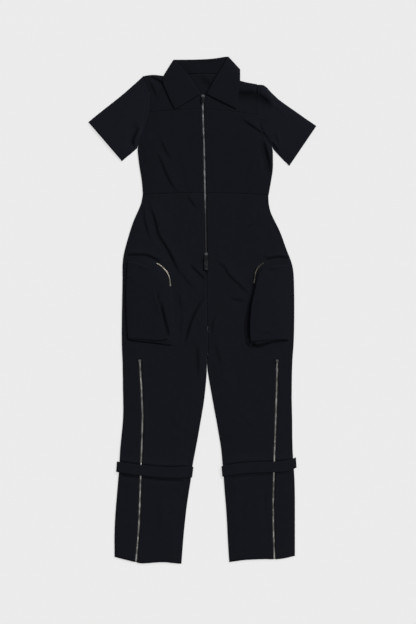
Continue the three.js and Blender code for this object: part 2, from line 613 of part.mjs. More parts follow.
// How far across the front of a leg its zip begins, as a share of the width
function zipShare(side) {
  const [first, last] = legEdges(side, LEG_ZIP_TOP, true);
  return (read(LEG_ZIPS, side, LEG_ZIP_TOP) - first) / (last - first);
}

function frontLeg(side) {
  const outerFirst = side === 'right';
  const before = outerFirst ? LEG_COLUMNS.outer : LEG_COLUMNS.inner;
  const after = outerFirst ? LEG_COLUMNS.inner : LEG_COLUMNS.outer;
  const grid = FRONT_LEVELS.map((nominal) => {
    const [first, last] = legEdges(side, nominal, true);
    const zip = nominal > LEG_ZIP_TOP ? mix(first, last, zipShare(side)) : read(LEG_ZIPS, side, nominal);
    const columns = [...spread(first, zip - SLOT_HALF, before), ...spread(zip + SLOT_HALF, last, after)];
    const drop = nominal === WAIST ? HALF_GAP : 0;
    return columns.map((x) => new THREE.Vector2(x, levelAt(x, nominal) - drop));
  });
  const slotStart = FRONT_LEVELS.indexOf(LEG_ZIP_TOP);
  const keep = (r, c) => r < slotStart || c !== before;
  add(`front_leg_${side}`, panel(grid, frontUnder, { keep }));
}

function backLeg(side) {
  const grid = BACK_LEVELS.map((nominal) => {
    const [first, last] = legEdges(side, nominal, false);
    const drop = nominal === WAIST ? HALF_GAP : 0;
    return spread(first, last, BACK_COLUMNS)
      .map((x) => new THREE.Vector2(x, levelAt(x, nominal) - drop));
  });
  add(`back_leg_${side}`, panel(grid, backUnder));
}

// Bodice

const SIDE_ROWS = 5;
const ARMHOLE_LOW_ROWS = 6;
const ARMHOLE_HIGH_ROWS = 6;
const FRONT_COLUMNS = 10;
const BACK_BODICE_COLUMNS = 12;
const UNDERARM = { right: 479, left: 476 };
const YOKE_AT_ARMHOLE = { right: 586, left: 578 };
const YOKE_BOW = 2; // how far the middle of the yoke seam lies above a straight line

const sidePoint = (side, y) => [read(BODICE, side, y), y];

// A stretch of the side seam or armhole, between two heights
function sideCurve(side, from, to, count) {
  return along(spread(from, to, 8).map((y) => sidePoint(side, y)), count);
}

const shoulderTip = { right: 692, left: 668 };
const armholeLow = (side) => sideCurve(side, UNDERARM[side], YOKE_AT_ARMHOLE[side], ARMHOLE_LOW_ROWS);
const armholeHigh = (side) => sideCurve(side, YOKE_AT_ARMHOLE[side], shoulderTip[side], ARMHOLE_HIGH_ROWS);
const sideSeam = (side) => sideCurve(side, waistAt(read(BODICE, side, WAIST)), UNDERARM[side], SIDE_ROWS);

// The edge of a front beside the zip, short of it by all but half a seam gap
function zipEdge(side, from, to, count) {
  const out = (SLOT_HALF - HALF_GAP) * (side === 'right' ? -1 : 1);
  return along(spread(from, to, 6).map((y) => [read(FRONT_ZIP, 'x', y) + out, y]), count);
}

function waistSeam(fromX, toX, count) {
  return along(spread(fromX, toX, 8).map((x) => [x, waistAt(x)]), count);
}

function yokeSeam(side) {
  const inner = zipEdge(side, YOKE_SEAM, ZIP_TOP, 1)[0];
  const outer = sidePoint(side, YOKE_AT_ARMHOLE[side]);
  const middle = [mix(outer[0], inner.x, 0.5), mix(outer[1], inner.y, 0.5) + YOKE_BOW];
  return along([outer, middle, [inner.x, inner.y]], FRONT_COLUMNS);
}

// Edges listed from the side seam inwards, turned round for the left half so that x always rises
function sided(side, { bottom, top, outer, inner }) {
  if (side === 'right') return patch({ bottom, top, left: outer, right: inner });
  return patch({
    bottom: [...bottom].reverse(), top: [...top].reverse(), left: inner, right: outer,
  });
}

function frontBodice(side) {
  const inner = zipEdge(side, WAIST, YOKE_SEAM, SIDE_ROWS + ARMHOLE_LOW_ROWS);
  const grid = sided(side, {
    bottom: waistSeam(read(BODICE, side, WAIST), inner[0].x, FRONT_COLUMNS),
    top: yokeSeam(side),
    outer: joined(sideSeam(side), armholeLow(side)),
    inner,
  });
  add(`front_bodice_${side}`, panel(drawnIn(grid), frontUnder));
}

const NECKLINE = {
  right: [[-28, 648], [-60, 666], [-88, 692]],
  left: [[34, 648], [66, 664], [92, 688]],
};
const SHOULDER_POINTS = {
  right: [[-176, 692], [-146, 696], [-107, 692], [-88, 692]],
  left: [[162, 668], [140, 672], [115, 677], [92, 688]],
};

function frontYoke(side) {
  const closing = zipEdge(side, YOKE_SEAM, ZIP_TOP, 2);
  const corner = closing[closing.length - 1];
  const neck = along([[corner.x, corner.y], ...NECKLINE[side]], ARMHOLE_HIGH_ROWS - 2);
  const grid = sided(side, {
    bottom: yokeSeam(side),
    top: along(SHOULDER_POINTS[side], FRONT_COLUMNS),
    outer: armholeHigh(side),
    inner: joined(closing, neck),
  });
  add(`front_yoke_${side}`, panel(drawnIn(grid), frontUnder));
}

function backBodice() {
  const edge = (side) => joined(sideSeam(side), armholeLow(side), armholeHigh(side));
  const first = read(BODICE, 'right', WAIST);
  const last = read(BODICE, 'left', WAIST);
  const tip = (side) => edge(side)[edge(side).length - 1];
  const inside = SHOULDERS.slice(1, -1).map(({ x, y }) => [x, y]);
  const top = along([tip('right').toArray(), ...inside, tip('left').toArray()], BACK_BODICE_COLUMNS);
  const grid = patch({
    bottom: waistSeam(first, last, BACK_BODICE_COLUMNS), top, left: edge('right'), right: edge('left'),
  });
  add('back_bodice', panel(drawnIn(grid), backUnder));
}

// A flattened tube. Each row lists its upper layer from one folded edge to the other, as points with the
// outer heights of both layers; at its two ends the layers meet in the fold.
function flatTube(rows, thick) {
  const loop = (row, inset) => {
    const last = row.length - 1;
    const fold = (at, next) => {
      const inward = new THREE.Vector2(row[next].x - row[at].x, row[next].y - row[at].y).setLength(inset);
      const middle = (row[at].top + row[at].bottom) / 2;
      return point(row[at].x + inward.x, row[at].y + inward.y, middle);
    };
    const between = row.slice(1, last);
    return [
      fold(0, 1),
      ...between.map((p) => point(p.x, p.y, p.top - inset)),
      fold(last, last - 1),
      ...between.map((p) => point(p.x, p.y, p.bottom + inset)).reverse(),
    ];
  };
  return wall(rows.map((row) => loop(row, thick)), rows.map((row) => loop(row, 0)), { closed: true });
}

function sleeveTop(x, y, edge) {
  const inside = smoothStep(edge / AIR_REACH);
  return 2 * CLOTH + TUBE_AIR + Math.max(0, (AIR + foldHeight(x, y)) * inside);
}

function sleeve(side) {
  const out = side === 'right' ? -HALF_GAP : HALF_GAP;
  const armhole = joined(armholeLow(side), armholeHigh(side)).reverse();
  const span = armhole.length - 1;
  const cuff = spread(0, 1, span).map((t) => new THREE.Vector2(
    mix(CUFFS[side].top[0], CUFFS[side].under[0], t),
    mix(CUFFS[side].top[1], CUFFS[side].under[1], t),
  ));
  const cap = CAPS[side];
  const rows = SLEEVE_ROWS.map((v) => {
    const rise = v === 0 ? 0 : cap.rise * Math.exp(-(((v - cap.at) / cap.spread) ** 2));
    const line = armhole.map((p, i) => {
      const share = (1 - i / span) ** 3;
      return new THREE.Vector2(p.x + out, p.y).lerp(cuff[i], v).add({ x: 0, y: rise * share });
    });
    const start = line[0].clone().lerp(line[1], FOLD_EDGE / line[0].distanceTo(line[1]));
    const end = line[span].clone().lerp(line[span - 1], FOLD_EDGE / line[span].distanceTo(line[span - 1]));
    const places = [line[0], start, ...line.slice(1, span), end, line[span]];
    return places.map((p, i) => {
      const edge = Math.min(p.distanceTo(line[0]), p.distanceTo(line[span]), v * ARMHOLE_REACH);
      const lift = collarLift(p.y) * (1 - v);
      const isFold = i === 0 || i === places.length - 1;
      const top = isFold ? 2 * CLOTH : sleeveTop(p.x, p.y, edge);
      return { x: p.x, y: p.y, top: top + lift, bottom: lift };
    });
  });
  add(`sleeve_${side}`, flatTube(rows, CLOTH));
}

// Leg straps

const STRAP_COLUMNS = 12;
const STRAP_TURN = 5; // how far in from its turned edge a strap is full height
const STRAP_BEND = 2.4; // how far past the edge of the leg a strap begins to turn

function legStrap(side) {
  const isRight = side === 'right';
  const rows = spread(STRAP_WIDTH / 2, -STRAP_WIDTH / 2, 2).map((off) => {
    const nominal = STRAP_LEVEL[side] + off;
    const [first, last] = legEdges(side, nominal, false);
    const [slackFirst, slackLast] = isRight
      ? [STRAP_SLACK.outer, STRAP_SLACK.inner] : [STRAP_SLACK.inner, STRAP_SLACK.outer];
    const start = first - slackFirst;
    const end = last + slackLast;
    const inside = spread(first - 1, last + 1, STRAP_COLUMNS);
    const columns = [start, first - STRAP_BEND, ...inside, last + STRAP_BEND, end];
    return columns.map((x, i) => {
      const y = read(STRAPS[side], 'y', x, 'x') + off;
      const within = THREE.MathUtils.clamp(x, first + STRAP_TURN, last - STRAP_TURN);
      const top = frontTop(within, y) + GAP + STRAP_THICK;
      const isFold = i === 0 || i === columns.length - 1;
      return isFold ? { x, y, top: top / 2, bottom: top / 2 } : { x, y, top, bottom: 0 };
    });
  });
  add(`leg_strap_${side}`, flatTube(rows, STRAP_THICK), strapCloth);
}

// Zip chains

// A straight-sided strip along a centre line, lying in its slot a little proud of the cloth
function chain(name, centre) {
  const place = (p, out) => {
    const underStrap = strapLift(p.x, p.y) / (STRAP_THICK + GAP);
    const top = frontTop(p.x, p.y) + CHAIN_PROUD - (CHAIN_PROUD + HALF_GAP) * underStrap;
    return { flat: [p.x + out, p.y], top };
  };
  const grid = centre.map((p) => [-1, 0, 1].map((s) => place(p, s * CHAIN_WIDTH / 2)));
  const lower = grid.map((row) => row.map(({ flat, top }) => point(...flat, top - CHAIN_THICK)));
  const upper = grid.map((row) => row.map(({ flat, top }) => point(...flat, top)));
  add(name, wall(lower, upper), zipMetal);
}

function frontChain() {
  const upper = spread(ZIP_TOP, WAIST, 14).map((y) => ({ x: read(FRONT_ZIP, 'x', y), y }));
  const lower = FRONT_LEVELS.filter((y) => y < WAIST && y >= ZIP_END)
    .map((y) => ({ x: read(LEGS, 'rightInner', y), y: y + (y === ZIP_END ? GAP : 0) }));
  chain('front_zip', [...upper, ...lower]);
}

function legChain(side) {
  const centre = FRONT_LEVELS.filter((y) => y <= LEG_ZIP_TOP).map((nominal) => {
    const x = read(LEG_ZIPS, side, nominal);
    const drop = nominal === LEG_ZIP_TOP ? 2 * GAP : 0;
    return { x, y: levelAt(x, nominal) - drop };
  });
  chain(`leg_zip_${side}`, centre);
}

// Bellows pockets

// One side of a pocket as evenly spaced stations, each with a foot and a rim point
function stations(rows, count) {
  const feet = along(rows.map((row) => [row.footX, row.footY]), count);
  const rims = along(rows.map((row) => [row.rimX, row.rimY]), count);
  const rises = along(rows.map((row, i) => [i, row.rise]), count);
  return feet.map((foot, i) => {
    const base = frontTop(foot.x, foot.y) + POCKET_SEAT;
    return { foot, rim: rims[i], base, height: base + rises[i].y };
  });
}

function pocketSides(side) {
  const table = POCKETS[side];
  return {
    top: stations(table.top, POCKET_ACROSS),
    inner: stations(table.inner, POCKET_ALONG),
    bottom: stations(table.bottom, POCKET_ACROSS),
    outer: stations(table.outer, POCKET_ALONG),
  };
}

// The four sides as one closed loop, each shared corner once
function pocketLoop(side, { top, inner, bottom, outer }) {
  const loop = side === 'right'
    ? [top, inner, [...bottom].reverse(), [...outer].reverse()]
    : [top, outer, [...bottom].reverse(), [...inner].reverse()];
  return loop.flatMap((stretch) => stretch.slice(0, -1));
}

// The bellows: a ring that leans in from its foot on the leg to the rim of the face
function gusset(side, loop) {
  const centre = loop.reduce((sum, s) => sum.add(s.rim), new THREE.Vector2()).divideScalar(loop.length);
  const ring = (share, inset) => loop.map((s) => {
    const flat = s.foot.clone().lerp(s.rim, share);
    const rise = s.height - GAP - s.base;
    const thick = (CLOTH * Math.hypot(rise, s.foot.distanceTo(s.rim))) / rise;
    const inward = centre.clone().sub(flat).setLength(thick * inset);
    return point(flat.x + inward.x, flat.y + inward.y, s.base + rise * share);
  });
  const shares = [0, 0.5, 1];
  const outside = shares.map((share) => ring(share, 0));
  const inside = shares.map((share) => ring(share, 1));
  add(`pocket_gusset_${side}`, wall(inside, outside, { closed: true }));
}

function pocketFace(side, sides) {
  const rims = (stretch) => stretch.map((s) => s.rim);
  const [left, right] = side === 'right' ? [sides.outer, sides.inner] : [sides.inner, sides.outer];
  const edges = {
    bottom: rims(sides.bottom),
    top: rims(sides.top),
    left: rims([...left].reverse()),
    right: rims([...right].reverse()),
  };
  const heights = (stretch) => stretch.map((s) => ({ x: s.height, y: s.height }));
  const flat = patch(edges);
  const relief = patch({
    bottom: heights(sides.bottom),
    top: heights(sides.top),
    left: heights([...left].reverse()),
    right: heights([...right].reverse()),
  });
  const lower = flat.map((row, r) => row.map((p, c) => {
    const across = Math.sin((Math.PI * c) / (row.length - 1));
    const down = Math.sin((Math.PI * r) / (flat.length - 1));
    return point(p.x, p.y, relief[r][c].x + FACE_CROWN * across * down);
  }));
  const upper = lower.map((row) => row.map((p) => point(p.x, p.y, p.z + CLOTH)));
  add(`pocket_face_${side}`, wall(lower, upper));
}

// The pocket's zip lies on the bellows just above their foot, round the cut-off corner
const POCKET_ZIP_SPAN = { right: [3, 8], left: [0, 5] };

function pocketZip(side, { top }) {
  const [from, to] = POCKET_ZIP_SPAN[side];
  const grid = top.slice(from, to + 1).map((s) => {
    const run = s.foot.distanceTo(s.rim);
    const rise = s.height - GAP - s.base;
    const ends = [POCKET_ZIP_START, POCKET_ZIP_START + POCKET_ZIP_WIDTH];
    return ends.map((up) => up / run).map((share) => {
      const flat = s.foot.clone().lerp(s.rim, share);
      return point(flat.x, flat.y, s.base + rise * share);
    });
  });
  const up = normals(grid).map((row) => row.map((n) => (n.z < 0 ? n.negate() : n)));
  const lower = moved(grid, up, GAP);
  add(`pocket_zip_${side}`, wall(lower, moved(lower, up, POCKET_ZIP_THICK)), zipMetal);
}

function pocket(side) {
  const sides = pocketSides(side);
  gusset(side, pocketLoop(side, sides));
  pocketFace(side, sides);
  pocketZip(side, sides);
}

// Collar

function collar() {
  const shares = [0, 0.3, 0.65, 1];
  const fall = FALL.map((s) => shares.map((t) => {
    const arch = s.rollZ > FALL_FRONT ? FALL_ARCH * Math.sin(Math.PI * t) : 0;
    return point(mix(s.rollX, s.edgeX, t), mix(s.rollY, s.edgeY, t), mix(s.rollZ, s.edgeZ, t) + arch);
  }));
  add('collar_fall', leaf(fall));
  const stand = STAND.map((s) => [0, 0.5, 1].map((t) => (
    point(mix(s.seamX, s.rollX, t), mix(s.seamY, s.rollY, t), mix(s.seamZ, s.rollZ, t)))));
  add('collar_stand', leaf(stand));
}

// Sliders and pull tabs

// An outline drawn flat and thickened upwards
function plate(outline, thick, hole) {
  const shape = new THREE.Shape(outline.map(([x, y]) => new THREE.Vector2(x, y)));
  if (hole) shape.holes.push(new THREE.Path(hole.map(([x, y]) => new THREE.Vector2(x, y))));
  return new THREE.ExtrudeGeometry(shape, { depth: thick, bevelEnabled: false });
}

function sliderOutline({ half, length, nose }) {
  const end = length / 2;
  const slant = nose * SLIDER_SHAPE.nose;
  const [waist, tail] = [half * SLIDER_SHAPE.waist, half * SLIDER_SHAPE.tail];
  return [
    [-half, end - nose], [-half + slant, end], [half - slant, end], [half, end - nose],
    [waist, 0], [tail, -end], [-tail, -end], [-waist, 0],
  ];
}

// The bail, a bridge over the slider's middle that holds the tab's bar
function bailGeometry() {
  const arc = (radius, from, to) => spread(from, to, BAIL.steps)
    .map((angle) => [radius * Math.cos(angle), radius * Math.sin(angle)]);
  const foot = -BAIL.axisAbove + GAP / 3;
  const profile = [
    [BAIL.outer, foot], ...arc(BAIL.outer, 0, Math.PI), [-BAIL.outer, foot],
    [-BAIL.inner, foot], ...arc(BAIL.inner, Math.PI, 0), [BAIL.inner, foot],
  ];
  const bail = plate(profile, BAIL.width);
  // The profile is drawn in X and Y; it stands up along the zip, with its width across it
  bail.rotateX(Math.PI / 2);
  bail.rotateZ(Math.PI / 2);
  bail.translate(-BAIL.width / 2, 0, 0);
  return bail;
}

function tabOutline({ reach, width }) {
  const back = TAB.bar / 2;
  const shoulder = TAB.eyeWidth / 2 + TAB.eyeArm;
  const neck = -TAB.eyeLength - TAB.neck;
  const full = neck - TAB.slope;
  const cut = TAB.corner;
  return [
    [-shoulder, back], [-shoulder, neck], [-width / 2, full], [-width / 2, -reach + cut],
    [-width / 2 + cut, -reach], [width / 2 - cut, -reach], [width / 2, -reach + cut], [width / 2, full],
    [shoulder, neck], [shoulder, back],
  ];
}

function frontSlider(which) {
  const { y } = TABS[which];
  const x = read(FRONT_ZIP, 'x', y);
  const seat = frontTop(x, y) + CHAIN_PROUD + SLIDER_SEAT;
  const body = add(`slider_${which}`, plate(sliderOutline(SLIDER), SLIDER.thick), zipMetal);
  body.position.set(x, y, seat);
  const axis = seat + SLIDER.thick + BAIL.axisAbove;
  const bail = add(`slider_bail_${which}`, bailGeometry(), zipMetal);
  bail.position.set(x, y, axis);
  const eye = [
    [-TAB.eyeWidth / 2, -TAB.bar / 2], [TAB.eyeWidth / 2, -TAB.bar / 2],
    [TAB.eyeWidth / 2, -TAB.bar / 2 - TAB.eyeLength], [-TAB.eyeWidth / 2, -TAB.bar / 2 - TAB.eyeLength],
  ];
  const tab = add(`pull_tab_${which}`, plate(tabOutline(TABS[which]), TAB.thick, eye), darkMetal);
  tab.position.set(x, y, axis - TAB.thick / 2);
}

function legSlider(side) {
  const x = read(LEG_ZIPS, side, LEG_ZIP_TOP);
  const y = LEG_ZIP_TOP - LEG_SLIDER.length / 2;
  const block = add(`leg_slider_${side}`, plate(sliderOutline(LEG_SLIDER), LEG_SLIDER.thick), zipMetal);
  block.position.set(x, y, frontTop(x, y) + CHAIN_PROUD + GAP);
}

backBodice();
frontChain();
collar();
for (const side of ['right', 'left']) {
  backLeg(side);
  frontLeg(side);
  frontBodice(side);
  frontYoke(side);
  sleeve(side);
  pocket(side);
  legChain(side);
  legSlider(side);
  legStrap(side);
}
for (const which of ['upper', 'lower']) frontSlider(which);

export default garment;
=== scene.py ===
import math
from collections import namedtuple

import bmesh
import bpy
import numpy as np
from mathutils import Matrix, Vector, noise
from mathutils.bvhtree import BVHTree
from mathutils.kdtree import KDTree


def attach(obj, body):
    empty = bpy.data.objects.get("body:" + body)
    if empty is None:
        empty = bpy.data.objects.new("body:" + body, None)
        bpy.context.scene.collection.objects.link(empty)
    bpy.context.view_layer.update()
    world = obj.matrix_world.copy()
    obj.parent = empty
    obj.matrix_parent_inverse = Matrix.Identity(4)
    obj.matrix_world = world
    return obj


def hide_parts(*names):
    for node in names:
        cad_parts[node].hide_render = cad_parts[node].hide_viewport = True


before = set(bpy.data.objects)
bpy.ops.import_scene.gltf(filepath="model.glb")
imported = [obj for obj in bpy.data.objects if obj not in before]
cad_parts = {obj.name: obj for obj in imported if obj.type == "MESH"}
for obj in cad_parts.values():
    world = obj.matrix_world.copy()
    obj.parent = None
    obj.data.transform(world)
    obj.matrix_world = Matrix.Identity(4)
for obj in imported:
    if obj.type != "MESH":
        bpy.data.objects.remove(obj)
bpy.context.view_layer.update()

# A black jumpsuit laid out flat, front up. Lengths in the tables are millimetres.
MM = 0.001
BODY = "garment"
SHARP = math.radians(50)  # an edge of a solid that turns more than this is the cut edge of its cloth
TUBE_SHARP = math.radians(125)  # past this, on a tube, it is a fold and stays soft
RIM_CREASE = 1  # how sharp the cut edges stay when the cloth is divided
UP = 0.35  # a face of a panel whose normal rises more than this shows from above
MARK_STEP = 2  # how far apart outlines and creases are measured

# Heights of a panel's two sides where it lies flat on the back: the fold relief is what is above them
PANEL_TOP = 2.9
PANEL_UNDER = 1.6
SLEEVE_TOP = 3.2
SLEEVE_UNDER = 1.9
UPPER_LAYER = (1.35, 2.15)  # a sleeve's upper layer lies above these heights, its lower one below them

# The cloth pieces: how finely each is made, its cloth, and the flat size of its cut in metres
Piece = namedtuple("Piece", "node levels cloth form width length area rests_on")
PIECES = [
    Piece("back_bodice", 2, "bodice", "back", 0.405, 0.365, 0.124, []),
    Piece("back_leg_right", 2, "leg", "back", 0.28, 1.1, 0.248, []),
    Piece("back_leg_left", 2, "leg", "back", 0.27, 1.1, 0.245, []),
    Piece("front_bodice_right", 3, "bodice", "front", 0.2, 0.26, 0.0446, ["back_bodice"]),
    Piece("front_bodice_left", 3, "bodice", "front", 0.205, 0.26, 0.0451, ["back_bodice"]),
    Piece("front_yoke_right", 3, "bodice", "front", 0.175, 0.11, 0.0132, ["back_bodice"]),
    Piece("front_yoke_left", 3, "bodice", "front", 0.16, 0.11, 0.0122, ["back_bodice"]),
    Piece("front_leg_right", 3, "leg", "front", 0.28, 1.1, 0.2436, ["back_leg_right"]),
    Piece("front_leg_left", 3, "leg", "front", 0.27, 1.1, 0.2397, ["back_leg_left"]),
    Piece("sleeve_right", 3, "sleeve", "sleeve", 0.42, 0.18, 0.0464, []),
    Piece("sleeve_left", 3, "sleeve", "sleeve", 0.4, 0.17, 0.0405, []),
    Piece("collar_stand", 3, "bodice", "collar", 0.36, 0.034, 0.0101, ["back_bodice"]),
    Piece("collar_fall", 3, "collar", "collar", 0.5, 0.08, 0.0269, ["back_bodice", "front_yoke_right"]),
    Piece("pocket_gusset_right", 3, "gusset", "pocket", 0.72, 0.034, 0.0142, ["front_leg_right"]),
    Piece("pocket_gusset_left", 3, "gusset", "pocket", 0.7, 0.026, 0.0103, ["front_leg_left"]),
    Piece("pocket_face_right", 3, "pocket", "pocket", 0.13, 0.24, 0.0228, ["pocket_gusset_right"]),
    Piece("pocket_face_left", 3, "pocket", "pocket", 0.125, 0.23, 0.024, ["pocket_gusset_left"]),
    Piece("leg_strap_right", 3, "strap", "strap", 0.46, 0.031, None, ["front_leg_right"]),
    Piece("leg_strap_left", 3, "strap", "strap", 0.45, 0.031, None, ["front_leg_left"]),
]

# The creases of the photograph. Each steps down from the left of its line to the right, with a narrow
# trough at the step: its height, half the width of the step, how far it reaches to both sides, and over
# what share of its length each end fades.
Crease = namedtuple("Crease", "points height steep reach fade", defaults=(2.6, 13, 0.4))
TROUGH = 0.45  # how deep the trough is, as a share of the height
CREASE_MARGIN = 2.5  # past this many reaches from a crease its relief is nothing
SHADE_HEIGHT = 4  # a crease this high gets the darkest painted shade
CREASES = [
    # shoulders
    Crease([(-158, 691), (-136, 683), (-112, 668)], 2.2, 3, 10, 0.3),
    Crease([(-162, 690), (-149, 660), (-132, 622)], 1.1, 3, 11),
    Crease([(92, 636), (118, 638), (146, 637), (166, 630), (210, 602)], 7, 13, 26, 0.22),
    Crease([(196, 616), (224, 592), (246, 566)], 0.5, 3),
    # left of the bodice
    Crease([(108, 570), (124, 560), (158, 537), (180, 521), (204, 505)], 2, 3, 13, 0.35),
    Crease([(178, 510), (187, 470), (196, 436), (199, 400)], 6, 6, 14, 0.3),
    Crease([(150, 470), (140, 420), (120, 372)], 0.3, 4),
    # right of the bodice
    Crease([(-130, 518), (-112, 478), (-100, 458), (-86, 438)], 1.2, 2.4, 12, 0.4),
    Crease([(-140, 478), (-124, 444), (-102, 392), (-84, 362), (-62, 340)], 1.6, 2.6, 13, 0.35),
    Crease([(-180, 500), (-172, 460), (-168, 410)], 0.4, 3.4),
    Crease([(-60, 430), (-52, 390), (-46, 358)], 0.3, 3.4),
    Crease([(-50, 342), (-36, 326), (-15, 297)], 1.3),
    # right hip and thigh
    Crease(
        [(-162, 328), (-139, 262), (-129, 222), (-107, 187), (-88, 152), (-60, 90)], 2.4, 3, 14, 0.3
    ),
    Crease([(-176, 322), (-171, 267), (-162, 233), (-152, 196)], 1.5, 3),
    Crease([(-66, 120), (-50, 92), (-22, 60)], 1, 3.2),
    Crease([(-40, 142), (-26, 124), (-12, 110), (14, 84)], 2, 3, 13, 0.35),
    Crease([(18, 50), (-2, 26), (-14, 8), (-35, -39), (-56, -112)], 2.8, 3.8, 15, 0.3),
    Crease([(-70, 60), (-66, 20), (-64, -10)], 0.8, 3),
    Crease([(-56, 0), (-64, -50), (-62, -100)], 0.8, 3),
    Crease([(-14, -84), (-15, -120), (-13, -160), (-12, -206)], 1.8, 4.2),
    Crease([(-60, -236), (-76, -270), (-98, -300)], 0.4, 3.4),
    # left hip and thigh
    Crease([(106, 216), (118, 224), (134, 246), (154, 256), (161, 282), (178, 302)], 1, 3.2),
    Crease([(196, 262), (198, 208)], 0.5, 3),
    Crease(
        [(34, 150), (52, 138), (66, 125), (76, 108), (90, 92), (112, 72), (134, 50), (148, 38)],
        1.5, 2.8, 12, 0.3,
    ),
    Crease([(78, 35), (104, 31), (130, 27)], 1.5, 2.6),
    Crease([(58, -5), (39, -19), (30, -39), (27, -84)], 1.2, 3),
    Crease([(34, -90), (44, -124), (58, -168)], 1.2, 5, 15),
    Crease([(100, -150), (108, -200), (112, -260)], 0.3, 4),
    Crease([(15.5, -112), (15.5, -144), (14, -176)], 1.3, 1.7, 8),
    # knees and shins
    Crease([(-110, -300), (-84, -330), (-60, -368)], 0.4, 4),
    Crease([(110, -300), (140, -340), (170, -362)], 0.4, 4),
    Crease([(-120, -510), (-128, -600), (-122, -690)], 0.4, 5),
    Crease([(190, -505), (186, -560), (192, -630)], 0.5, 3.4),
    Crease([(130, -520), (120, -600), (128, -690)], 0.3, 5),
    # sleeves
    Crease([(-184, 548), (-198, 520), (-206, 500), (-200, 478)], 4, 5, 12, 0.3),
    Crease([(-190, 556), (-198, 528), (-204, 500)], 0.9, 3),
    Crease([(-214, 610), (-244, 576), (-262, 530)], 0.3, 5),
    Crease([(204, 502), (214, 484), (226, 466)], 2.4, 3),
    Crease([(212, 530), (222, 500), (222, 476)], 1.1, 3),
    Crease([(250, 600), (268, 560), (272, 520)], 0.3, 5),
    # where the cloth puffs up beside the straps and above the pockets
    Crease([(-254, -444), (-232, -450), (-181, -456), (-112, -463), (-38, -461)], 3, 2.6, 12, 0.08),
    Crease([(64, -459), (124, -450), (200, -447), (254, -443), (270, -436)], 3, 2.6, 12, 0.08),
    Crease([(-250, -486), (-181, -494), (-112, -501), (-48, -501)], 2.4, 4, 11, 0.1),
    Crease([(78, -497), (124, -488), (200, -485), (262, -481)], 1.2, 3, 10, 0.1),
    Crease([(-228, 162), (-196, 163), (-166, 161), (-144, 153), (-122, 140)], 3.4, 4.2, 13, 0.14),
    Crease([(186, 149), (204, 153), (230, 157), (260, 152)], 3.4, 4.2, 13, 0.12),
]
FACE_CREASES = [
    Crease([(-118, -18), (-124, 4), (-131, 28), (-135, 45), (-138, 62)], 3.2, 3.6, 9, 0.3),
    Crease([(-199, 134), (-180, 124), (-162, 114)], 0.5, 3),
    Crease([(-228, 106), (-214, 90), (-200, 72)], 0.5, 3),
    Crease([(-196, -10), (-190, -40), (-180, -72)], 0.3, 4),
    Crease([(-206, -84), (-170, -86), (-128, -86)], 0.4, 2),
    Crease([(188, 126), (204, 120), (222, 124), (232, 133)], 1.1, 3),
    Crease([(170, -78), (186, -67), (214, -71)], 1, 3, 10),
    Crease([(216, 40), (210, 0), (214, -40)], 0.3, 5),
]
# The folds where the pockets' bellows meet the leg
FOOT_CREASES = [
    Crease([(-226, -88), (-183, -94), (-138, -99), (-109, -104), (-84, -107)], 2.6, 2.6, 8, 0.1),
    Crease([(144, -98), (158, -106), (176, -105), (204, -97)], 4, 5.5, 12, 0.16),
    Crease([(190, -99), (214, -93), (236, -90), (262, -88)], 2.6, 2.8, 8, 0.2),
]
# The back's own creases, pressed up from the surface it lies on
BACK_CREASES = [
    Crease([(-150, 640), (-90, 610), (-30, 600)], 0.5, 4),
    Crease([(20, 600), (80, 606), (130, 630)], 0.45, 4),
    Crease([(-110, 560), (-96, 480), (-70, 400)], 0.5, 3.4),
    Crease([(120, 540), (96, 460), (84, 380)], 0.5, 3.4),
    Crease([(-40, 520), (-10, 440), (20, 390)], 0.35, 5),
    Crease([(-150, 300), (-110, 210), (-60, 120)], 0.6, 3),
    Crease([(180, 280), (130, 190), (70, 110)], 0.6, 3),
    Crease([(-30, 60), (-70, 0), (-140, -40)], 0.5, 3.4),
    Crease([(50, 50), (90, -20), (160, -60)], 0.5, 3.4),
    Crease([(-200, -220), (-150, -280), (-90, -310)], 0.5, 4),
    Crease([(80, -250), (140, -300), (210, -310)], 0.5, 4),
    Crease([(-120, -540), (-150, -610), (-150, -690)], 0.4, 5),
    Crease([(160, -540), (180, -620), (170, -700)], 0.4, 5),
]
BACK_LIFT = 0.6
BACK_REACH = 40  # how far in from its edges the back rises off the surface it lies on

# What lies on the front, so that the cloth under it stays as it is
COVERS = ["pocket_gusset_right", "pocket_gusset_left", "leg_strap_right", "leg_strap_left"]
COVER_MARGIN = 3
LOOSE = (0.25, 0.7)  # the least share of a rise at a folded edge, and the slack that allows all of it
SINKING = 0.8  # how much of the room below it a cloth may sink
RIM_OUT = 0.2  # a little over half a seam gap: how far the edges move out to meet
RIM_REACH = 0.7  # points this near to the edge move

# The grooves in the bellows beside the pockets' faces: how deep each is, how far off the face and how
# wide, between what heights on the garment it lies, and on which side of the face
Groove = namedtuple("Groove", "node face depth away width top fade bottom side")
GROOVES = [
    Groove("pocket_gusset_right", "pocket_face_right", 6, 1.2, 6, 34, 40, -84, 1),
    Groove("pocket_gusset_left", "pocket_face_left", 7, 7.5, 8.5, 84, 60, -92, -1),
]
GROOVE_FLOOR = 5.2  # the height of the leg under the pockets
GROOVE_ROOM = 0.85  # how much of the room above the leg a groove may take
GROOVE_SHADE = 0.55  # painted shade at the bottom of a full groove
# Over what lengths a groove fades at the foot, at the face's middle and below
GROOVE_EDGES = (4, 30, 20)
# Soft unevenness of the laid cloth: the size of its swells and their height
SWELLS = [(80, 0.4), (26, 0.12), (9, 0.04)]
SEAM_DITCH = (0.16, 1.8)  # depth and width of the dip at a seamed edge
SEAM_RIDGE = (0.15, 6, 2.6)  # height, distance from the edge and width of the pressed allowance
SEAM_SHADE = (0.05, 1.6)  # painted shade along a piece's edges and seams: how dark, and how far in
